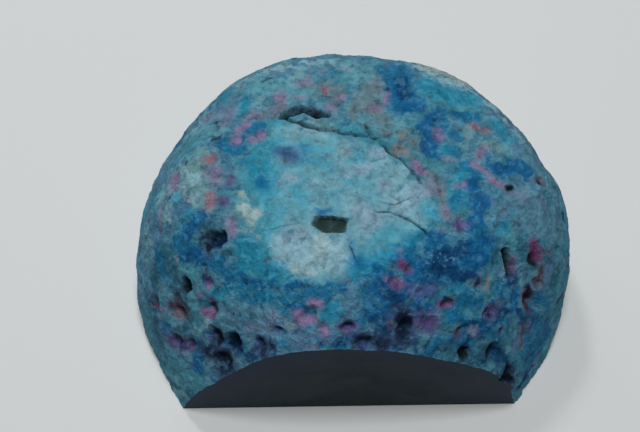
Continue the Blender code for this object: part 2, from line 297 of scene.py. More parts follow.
def beside_route(points: np.ndarray, route: Sequence[Spot]) -> tuple[np.ndarray, np.ndarray]:
    """Measures how far each point lies from a plan route.

    Args:
        points: the places to measure, a row each.
        route: the corners of the route in order, in millimetres.

    Returns:
        The distance in plan, below nought to the right of the route, and that to the route's nearer end.
    """
    plan = points[:, :2]
    corners = np.array(route) * MM
    nearest = np.full(len(points), np.inf)
    side = np.ones(len(points))
    for start, end in zip(corners[:-1], corners[1:]):
        along = end - start
        away = off_segment(plan, start, end)
        distance = np.linalg.norm(away, axis=1)
        left = along[0] * away[:, 1] - along[1] * away[:, 0] >= 0.0
        closer = distance < nearest
        side = np.where(closer, np.where(left, 1.0, -1.0), side)
        nearest = np.where(closer, distance, nearest)
    ends = np.minimum(*(np.linalg.norm(plan - corner, axis=1) for corner in (corners[0], corners[-1])))
    return nearest * side, ends


SLAB = (
    (-12.7, 8.7), (-7.0, 6.8), (-1.3, 5.8), (4.0, 4.6), (6.0, 2.8), (8.8, -0.5), (10.9, -4.2), (13.8, -7.4),
    (13.6, -10.4), (9.6, -15.2), (5.1, -18.1), (0.1, -20.8), (-5.3, -22.2), (-9.3, -21.5), (-14.4, -18.4),
    (-15.4, -13.3), (-18.1, -12.0), (-19.1, -8.7), (-16.0, -5.0), (-14.0, 1.0), (-14.2, 7.4),
)
SLAB_EDGE = 2.0 * MM


def on_crown(points: np.ndarray) -> np.ndarray:
    """Gives one on the upper rind, and nought below the heart."""
    return smooth_step((points[:, 2] - HEART[2]) / CROWN_FADE)


class Rind:
    """The rind's points while it is being carved and dyed.

    Attributes:
        directions: the way from the heart to each point.
        points: each point on the plain form.
        height: the relief at each point.
        painted_shade: how much shade is painted on each point, in the pits, holes and cracks, from nought to
            one.
        wobble: noise that makes outlines uneven.
        masks: how strongly each wash lies on each point.
        tint: the colour of the spot that each point lies in.
        tint_reach: how deep in that spot it lies.
        calm: one on the smoother slab in the crown, and nought elsewhere.
    """

    WOBBLE_SPACING = 2.2 * MM
    WOBBLE_OCTAVES = 3
    BARE_TINT = Pigment.MAUVE

    def __init__(self, directions: np.ndarray) -> None:
        """Sets the points on the plain form, bare of relief and dye.

        Args:
            directions: the way from the heart to each point.
        """
        self.directions = directions
        self.points = HEART + directions * FORM.radius(directions)[:, None]
        count = len(self.points)
        self.height = np.zeros(count)
        self.painted_shade = np.zeros(count)
        self.wobble = field(self.points, self.WOBBLE_SPACING, self.WOBBLE_OCTAVES)
        self.masks: dict[Pigment, np.ndarray] = {}
        self.tint = np.tile(np.array(self.BARE_TINT.value), (count, 1))
        self.tint_reach = np.zeros(count)
        self.calm = edge(inside_distance(self.points[:, :2], SLAB), SLAB_EDGE) * on_crown(self.points)

    def near(self, place: np.ndarray, reach: float) -> np.ndarray:
        """Gives the indices of the points within reach of a place."""
        return np.nonzero(np.linalg.norm(self.points - place, axis=1) < reach)[0]

    def darken(self, chosen: np.ndarray, amount: np.ndarray) -> None:
        """Paints shade on the chosen points, at least as dark as the amounts given."""
        self.painted_shade[chosen] = np.maximum(self.painted_shade[chosen], amount)

    def dye(self, chosen: np.ndarray, cover: np.ndarray, pigment: Pigment) -> None:
        """Tints the chosen points where this cover is stronger than what is there.

        Args:
            chosen: the indices of the points.
            cover: how strongly the dye lies on each.
            pigment: the dye.
        """
        stronger = cover > self.tint_reach[chosen]
        self.tint[chosen[stronger]] = pigment.value
        self.tint_reach[chosen[stronger]] = cover[stronger]

    def wash(self, chosen: np.ndarray, cover: np.ndarray, pigment: Pigment) -> None:
        """Lays a broad wash of one pigment over the chosen points."""
        mask = self.masks.setdefault(pigment, np.zeros(len(self.points)))
        mask[chosen] = np.maximum(mask[chosen], cover)

    def carved(self) -> np.ndarray:
        """Gives the finished points."""
        return self.points + self.directions * self.height[:, None]


@dataclass(frozen=True)
class Swell:
    """A broad rise, or a hollow where its height is below nought."""

    bearing: float
    elevation: float
    reach: float
    height: float

    def carve(self, rind: Rind) -> None:
        """Lays the swell over the rind."""
        away = np.linalg.norm(rind.points - FORM.point(self.bearing, self.elevation), axis=1)
        rind.height += self.height * np.exp(-((away / self.reach) ** 2))


@dataclass(frozen=True)
class Pit:
    """A hollow in the rind, in millimetres.

    It is given half its width and half its length, its depth, and how dark the shade painted on its upper
    wall is.
    The constants hold for all pits, as shares of a pit's own size and painted shade.
    """

    bearing: float
    elevation: float
    across: float
    upward: float
    depth: float
    painted_shade: float = 0.6
    NEAR = 2.6
    RIM = 1.3
    WALL = 1.15
    LIP_REACH = 0.22
    LIP_SHARE = 0.10
    UNEVEN = 0.30
    SHADE_MIDDLE = 0.6
    SHADE_RISE = 0.8
    SHADE_FILL = 1.3

    def carve(self, rind: Rind) -> None:
        """Sinks the pit, with a rounded floor, a steeper wall and a faint lip, and paints shade on its upper
        wall.

        Args:
            rind: the rind to sink it in.
        """
        facing = FORM.facing(self.bearing, self.elevation)
        wide = max(self.across, self.upward) * MM
        tall = self.upward * MM
        chosen = rind.near(facing.place, self.NEAR * wide)
        across, upward, outward = facing.offsets(rind.points[chosen])
        share = np.sqrt((across / (self.across * MM)) ** 2 + (upward / tall) ** 2 + (outward / wide) ** 2)
        share = share * (1.0 + self.UNEVEN * rind.wobble[chosen])
        bowl = smooth_step((self.RIM - share) / self.WALL)
        lip = np.exp(-(((share - self.RIM) / self.LIP_REACH) ** 2))
        rind.height[chosen] += self.depth * MM * (self.LIP_SHARE * lip - bowl)
        # Painted shade, darkest on the upper wall, which faces away from the light.
        shaded = smooth_step(self.SHADE_MIDDLE + self.SHADE_RISE * upward / tall)
        rind.darken(chosen, self.painted_shade * shaded * smooth_step(bowl * self.SHADE_FILL))


@dataclass(frozen=True)
class Hole:
    """A steep-sided hole. Its outline's corners are millimetres across and up the slope from its place."""

    bearing: float
    elevation: float
    outline: tuple[Spot, ...]
    depth: float
    floor: Pigment = Pigment.MOSS
    painted_shade: float = 0.75
    WALL = 0.45 * MM
    UNEVEN = 0.14 * MM
    NEAR = 5.0 * MM
    SPREAD = 0.1 * MM

    def carve(self, rind: Rind) -> None:
        """Sinks the hole, and dyes it and paints shade in it a little past its rim.

        Args:
            rind: the rind to sink it in.
        """
        facing = FORM.facing(self.bearing, self.elevation)
        chosen = rind.near(facing.place, self.NEAR)
        across, upward, _ = facing.offsets(rind.points[chosen])
        inside = inside_distance(np.stack((across, upward), axis=1), self.outline)
        inside += self.UNEVEN * rind.wobble[chosen]
        rind.height[chosen] -= self.depth * MM * edge(inside, self.WALL)
        cover = within(inside + self.SPREAD, self.WALL)
        rind.dye(chosen, cover, self.floor)
        # Painted shade in the hole.
        rind.darken(chosen, self.painted_shade * cover)


@dataclass(frozen=True)
class Gap:
    """An opening in the crown, drawn in plan, where the rind has parted."""

    outline: tuple[Spot, ...]
    depth: float
    floor: Pigment = Pigment.MOSS
    painted_shade: float = 0.75
    WALL = 0.4 * MM
    UNEVEN = 0.08 * MM
    SPREAD = 0.1 * MM

    def carve(self, rind: Rind) -> None:
        """Sinks the gap, and dyes it and paints shade in it a little past its rim.

        Args:
            rind: the rind to sink it in.
        """
        everywhere = np.arange(len(rind.points))
        inside = inside_distance(rind.points[:, :2], self.outline) + self.UNEVEN * rind.wobble
        opened = edge(inside, self.WALL) * on_crown(rind.points)
        rind.height -= self.depth * opened
        cover = within(inside + self.SPREAD, self.WALL) * on_crown(rind.points)
        rind.dye(everywhere, cover, self.floor)
        # Painted shade in the gap.
        rind.darken(everywhere, self.painted_shade * cover)


@dataclass(frozen=True)
class Crack:
    """A crack along a plan route, which tapers to its ends, with shade painted into it that is dark in some
    places and faint in others.
    """

    route: tuple[Spot, ...]
    half_width: float
    depth: float
    painted_shade: float = 0.9
    NEAR = 2.0 * MM
    TAPER = 2.5 * MM
    BLUNTNESS = 0.25
    WALL = 0.36 * MM
    WANDER = 0.30 * MM
    DARK_MIDDLE = 0.55
    BROKEN_MIDDLE = 0.95
    BROKEN_SWING = 0.8
    BROKEN_LEAST = 0.45

    def carve(self, rind: Rind) -> None:
        """Sinks the crack and paints shade into it.

        Args:
            rind: the rind to sink it in.
        """
        beside, ends = beside_route(rind.points, self.route)
        chosen = np.nonzero((np.abs(beside) < self.NEAR) & (rind.points[:, 2] > HEART[2]))[0]
        wobble = rind.wobble[chosen]
        taper = smooth_step(self.BLUNTNESS + ends[chosen] / self.TAPER)
        inside = self.half_width * taper - np.abs(beside[chosen] + self.WANDER * wobble)
        rind.height[chosen] -= self.depth * taper * edge(inside, self.WALL)
        # Painted shade along the crack, broken up by the wobble.
        dark = np.clip(self.DARK_MIDDLE + 0.5 * inside / self.WALL, 0.0, 1.0)
        broken = np.clip(self.BROKEN_MIDDLE + self.BROKEN_SWING * wobble, self.BROKEN_LEAST, 1.0)
        rind.darken(chosen, self.painted_shade * taper * dark * broken)


@dataclass(frozen=True)
class Scar:
    """A flake scar: the rind stands proud to the left of its edge, and slopes away behind it."""

    route: tuple[Spot, ...]
    step: float = 0.35 * MM
    wall: float = 0.5 * MM
    fade: float = 11.0 * MM
    end: float = 5.0 * MM
    uneven: float = 0.12 * MM

    def carve(self, rind: Rind) -> None:
        """Raises the rind above the edge.

        Args:
            rind: the rind to raise.
        """
        beside, ends = beside_route(rind.points, self.route)
        raised = edge(beside + self.uneven * rind.wobble, self.wall)
        raised *= 1.0 - smooth_step(beside / self.fade)
        rind.height += self.step * raised * smooth_step(ends / self.end) * on_crown(rind.points)


@dataclass(frozen=True)
class Lumps:
    """Rounded lumps all over the rind: how far apart, and how high."""

    spacing: float
    height: float

    def carve(self, rind: Rind) -> None:
        """Adds the lumps."""
        rind.height += self.height * field(rind.points, self.spacing)


@dataclass(frozen=True)
class Crust:
    """A flaky crust with sharp ridges, which fades out on the smoother slab in the crown.

    The shake, which makes its ridges wander, is in millimetres.
    """

    spacing: float
    height: float
    octaves: int
    shake: float = 0.3
    slab_loss: float = 0.75

    def carve(self, rind: Rind) -> None:
        """Adds the crust.

        Args:
            rind: the rind to add it to.
        """
        shaken = rind.points + rind.wobble[:, None] * self.shake * MM
        ridges = 1.0 - 2.0 * np.abs(field(shaken, self.spacing, self.octaves))
        rind.height += self.height * ridges * (1.0 - self.slab_loss * rind.calm)


class Stain:
    """Dye along a run of places on the rind, which thins out at its reach."""

    NEAR = 2.2
    UNEVEN = 0.16

    def __init__(self, reach: float, strength: float, *places: Spot) -> None:
        """Sets the stain's run.

        Args:
            reach: how far the stain spreads from its run, in millimetres.
            strength: how fully it covers, up to one.
            places: bearings and elevations of the run's corners.
        """
        self.reach = reach * MM
        self.strength = strength
        self.places = [FORM.point(*place) for place in places]

    def cover(self, rind: Rind) -> tuple[np.ndarray, np.ndarray]:
        """Finds what the stain covers.

        Args:
            rind: the rind that it lies on.

        Returns:
            The indices of the points near it, and how strongly it lies on each: about half at its reach.
        """
        nearest = np.full(len(rind.points), np.inf)
        for start, end in zip(self.places, self.places[1:] or self.places):
            nearest = np.minimum(nearest, np.linalg.norm(off_segment(rind.points, start, end), axis=1))
        chosen = np.nonzero(nearest < self.NEAR * self.reach)[0]
        share = nearest[chosen] / self.reach
        uneven = self.UNEVEN * rind.wobble[chosen]
        return chosen, self.strength * np.clip(1.0 - 0.5 * share + uneven, 0.0, 1.0)


@dataclass(frozen=True)
class Patch:
    """A wash inside a plan outline on the crown."""

    outline: tuple[Spot, ...]
    strength: float
    EDGE = 1.2 * MM

    def cover(self, rind: Rind) -> tuple[np.ndarray, np.ndarray]:
        """Finds what the patch covers, as a stain does.

        Args:
            rind: the rind that it lies on.

        Returns:
            The indices of all the points, and how strongly the patch lies on each.
        """
        inside = inside_distance(rind.points[:, :2], self.outline)
        cover = within(inside, self.EDGE) * on_crown(rind.points)
        return np.arange(len(rind.points)), self.strength * cover


SWELLS = (
    Swell(6, 26, 8.0 * MM, 0.7 * MM),
    Swell(18, 31, 4.0 * MM, -0.5 * MM),
    Swell(35, 28, 9.0 * MM, 0.7 * MM),
    Swell(58, 35, 7.0 * MM, 0.4 * MM),
    Swell(82, 36, 5.0 * MM, -0.5 * MM),
    Swell(90, 24, 13.0 * MM, -0.4 * MM),
    Swell(108, 37, 8.0 * MM, 0.4 * MM),
    Swell(127, 33, 6.0 * MM, 0.5 * MM),
    Swell(147, 30, 8.0 * MM, -0.3 * MM),
    Swell(179, 17, 4.0 * MM, -0.4 * MM),
    Swell(191, 5, 8.0 * MM, 0.5 * MM),
    Swell(215, 2, 6.0 * MM, -0.4 * MM),
    Swell(316, 10, 5.0 * MM, 0.5 * MM),
    Swell(333, 3, 6.0 * MM, 0.4 * MM),
    Swell(340, 11, 3.0 * MM, -0.9 * MM),
)

LUMPS = (
    Lumps(15.0 * MM, 0.5 * MM), Lumps(5.5 * MM, 0.3 * MM), Lumps(2.6 * MM, 0.14 * MM),
    Lumps(1.3 * MM, 0.10 * MM), Lumps(0.7 * MM, 0.05 * MM),
)

CRUST = Crust(2.4 * MM, 0.23 * MM, 4)

SCAR = Scar(
    (
        (-12.5, 9.0), (-10.0, 8.5), (-6.0, 7.0), (-1.0, 6.5), (3.5, 6.0), (5.5, 5.5), (7.5, 2.0),
        (10.0, -0.5), (11.0, -3.5), (13.0, -6.0), (15.0, -6.0),
    )
)

GAP = Gap(
    (
        (-12.8, 9.2), (-11.5, 10.7), (-9.9, 11.4), (-9.0, 12.0), (-7.8, 11.7), (-6.4, 11.4), (-5.2, 10.8),
        (-3.7, 9.8), (-5.2, 9.5), (-6.2, 9.0), (-7.1, 9.7), (-8.2, 10.5), (-10.0, 9.8), (-11.5, 9.2),
    ),
    1.5 * MM,
)

CRACKS = (
    # The foot of the flake scar, and the short crack that meets it.
    Crack(
        ((-12.6, 9.3), (-11.0, 8.9), (-9.0, 8.2), (-7.0, 7.3), (-5.2, 6.7), (-2.5, 6.4), (0.3, 6.1)),
        0.19 * MM, 0.8 * MM, 1.0,
    ),
    Crack(
        ((-1.0, 6.3), (1.7, 5.7), (3.0, 5.7), (4.2, 5.3), (5.4, 4.2), (7.3, 1.7)), 0.22 * MM, 0.8 * MM, 1.0,
    ),
    Crack(((6.1, 3.4), (8.8, 0.1), (10.6, -2.0), (11.0, -3.4), (11.8, -4.8)), 0.12 * MM, 0.5 * MM, 0.9),
    Crack(((1.4, 8.7), (2.4, 7.2), (3.2, 6.3), (4.2, 5.3)), 0.30 * MM, 0.8 * MM, 0.8),
    # Right of the crown pit.
    Crack(((2.2, -9.3), (3.8, -9.9), (5.1, -9.8), (7.7, -10.7), (9.3, -11.6)), 0.09 * MM, 0.4 * MM, 0.9),
    Crack(
        ((7.2, -10.5), (9.3, -11.6), (10.6, -12.6), (11.7, -13.7), (12.9, -15.1)), 0.18 * MM, 0.5 * MM, 1.0,
    ),
    Crack(
        ((2.9, -7.2), (4.7, -8.1), (6.7, -8.3), (7.9, -7.7), (9.4, -6.9), (10.8, -6.7)),
        0.07 * MM, 0.3 * MM, 0.8,
    ),
    # In front of the crown pit.
    Crack(((-1.9, -15.5), (-0.9, -16.9), (-0.5, -18.3), (0.0, -20.1)), 0.10 * MM, 0.5 * MM, 0.75),
    Crack(((3.4, -16.0), (4.5, -16.9), (5.2, -18.4)), 0.06 * MM, 0.3 * MM, 0.65),
    # The back edge of the pale slab.
    Crack(
        ((-15.4, -13.7), (-13.8, -13.3), (-12.0, -13.0), (-10.5, -12.7), (-8.9, -12.9)),
        0.06 * MM, 0.3 * MM, 0.3,
    ),
)

HOLES = (
    # The rectangular pit in the crown, and the deep hole to its left.
    Hole(
        241, 75, ((-2.7, -1.8), (-2.9, -0.2), (-0.7, 1.0), (1.9, 1.9), (2.5, -0.4), (-0.7, -2.2)),
        1.4, Pigment.OLIVE, 0.64,
    ),
    Hole(
        201, 49, ((-1.5, -0.3), (-0.3, 2.1), (1.1, 1.7), (1.9, 0.0), (0.1, -1.6), (-1.2, -1.8)),
        2.3, Pigment.NAVY, 0.62,
    ),
    # Smaller holes in the flanks.
    Hole(335.5, 40.5, ((0.8, 2.4), (-0.7, 0.5), (-1.9, -1.2), (-1.2, -2.2), (0.8, -0.9), (2.1, 1.5)), 1.8),
    Hole(205, 33, ((-1.2, 0.9), (0.0, 1.4), (1.0, 0.4), (0.9, -1.2), (-0.7, -1.5)), 1.2),
    Hole(305, 30.5, ((-0.9, 0.8), (0.2, 1.1), (1.2, 0.2), (0.5, -1.2), (-1.1, -0.9)), 1.2),
    # Chips at the right-hand end of the standing cut, and on the right flank.
    Hole(315, 15, ((1.1, 2.9), (-2.3, 0.5), (-1.4, -0.9), (1.2, -3.0)), 1.0, Pigment.MIDNIGHT),
    Hole(322, 3.5, ((-2.7, -0.3), (-1.6, 1.4), (2.6, 1.2), (2.9, 0.2), (0.6, -0.9)), 1.3, Pigment.MIDNIGHT),
    Hole(341, 14.5, ((-1.8, -1.0), (-1.4, 0.9), (1.6, 0.8), (1.9, -1.2)), 1.1, Pigment.MAROON),
)

PITS = (
    # The left shoulder, from the back round to the front.
    Pit(102, 54, 0.9, 0.9, 0.4, 0.15), Pit(98, 58, 1.4, 1, 0.4, 0.1), Pit(123, 52, 1.1, 1.2, 0.4, 0.15),
    Pit(142, 47, 1.6, 1.1, 0.24, 0.1), Pit(148, 41, 1.6, 1.1, 0.24, 0.1), Pit(147, 57, 1, 1, 0.48, 0.2),
    Pit(153, 53, 1.3, 1.3, 0.48, 0.2), Pit(155, 49, 1.1, 0.9, 0.56, 0.3), Pit(166, 50, 1.4, 1.1, 0.56, 0.2),
    Pit(175, 52, 1.4, 1.4, 0.48, 0.15), Pit(173, 41, 1.4, 1.5, 0.56, 0.25),
    Pit(186, 51, 1.4, 1.3, 0.56, 0.25), Pit(199, 55, 1.3, 1.1, 0.48, 0.15),
    # The right shoulder, from the back round to the front.
    Pit(48, 46, 1.5, 1.2, 0.32, 0.15), Pit(36, 57, 1.2, 1.1, 0.48, 0.25), Pit(29, 47, 1.6, 1.1, 0.48, 0.25),
    Pit(18, 50, 1.4, 1.5, 0.48, 0.2), Pit(18, 68, 1, 1.5, 0.4, 0.15), Pit(6, 38, 1.2, 1.2, 0.72, 0.3),
    Pit(5, 48, 1.5, 1.2, 0.56, 0.25), Pit(2, 57, 1.4, 1, 0.4, 0.2), Pit(358, 31, 1.2, 1.6, 0.64, 0.25),
    Pit(352, 47, 1, 1, 0.4, 0.2), Pit(341, 62, 1.1, 1.2, 0.4, 0.15), Pit(339, 56, 1.6, 1.5, 0.56, 0.2),
    # The front left, down to the standing cut.
    Pit(200, 18, 1.2, 2.2, 1.0, 0.7), Pit(208, 24, 2.1, 2.2, 1.5, 0.9), Pit(211, 40, 1.1, 1.3, 0.7, 0.5),
    Pit(211, 15, 1.6, 2.3, 1.0, 0.8), Pit(216, 34, 1.4, 2.1, 1.2, 0.8), Pit(216, 19, 1.5, 2.1, 1.1, 0.8),
    Pit(222, 28, 1.8, 2.3, 1.2, 0.9), Pit(228, 24, 2.2, 2.3, 1.4, 0.9), Pit(229, 32, 1.3, 1.7, 1.4, 0.9),
    Pit(237, 36, 1.3, 1.5, 0.9, 0.7), Pit(241, 42, 1.1, 1.0, 0.8, 0.7), Pit(250, 49, 1.6, 1.6, 0.9, 0.6),
    Pit(257, 46, 1.0, 1.0, 0.5, 0.4), Pit(266, 47, 1.5, 1.1, 0.9, 0.8),
    # The front right, down to the standing cut.
    Pit(273, 43, 2.3, 1.3, 0.7, 0.8), Pit(289, 45, 1.9, 2.1, 1.1, 0.8), Pit(290, 57, 1.4, 1.4, 0.6, 0.4),
    Pit(301, 59, 1.3, 1.0, 0.6, 0.5), Pit(297, 43, 1.7, 1.5, 0.8, 0.5), Pit(301, 52, 2.0, 1.0, 0.5, 0.4),
    Pit(307, 45, 1.6, 1.2, 0.7, 0.8), Pit(308, 36, 1.4, 1.2, 0.7, 0.6), Pit(313, 25, 1.7, 2.0, 1.5, 0.9),
    Pit(319, 35, 1.3, 1.2, 0.8, 0.7), Pit(319, 28, 1.0, 1.0, 0.6, 0.6), Pit(322, 43, 1.2, 1.1, 0.8, 0.8),
    Pit(325, 20, 1.2, 1.9, 0.6, 0.5), Pit(332, 28, 1.5, 2.3, 1.2, 0.8), Pit(337, 30, 1.0, 1.3, 0.8, 0.6),
    Pit(342, 35, 1.5, 1.5, 1.1, 0.7), Pit(345, 32, 0.8, 1.2, 0.5, 0.4),
)
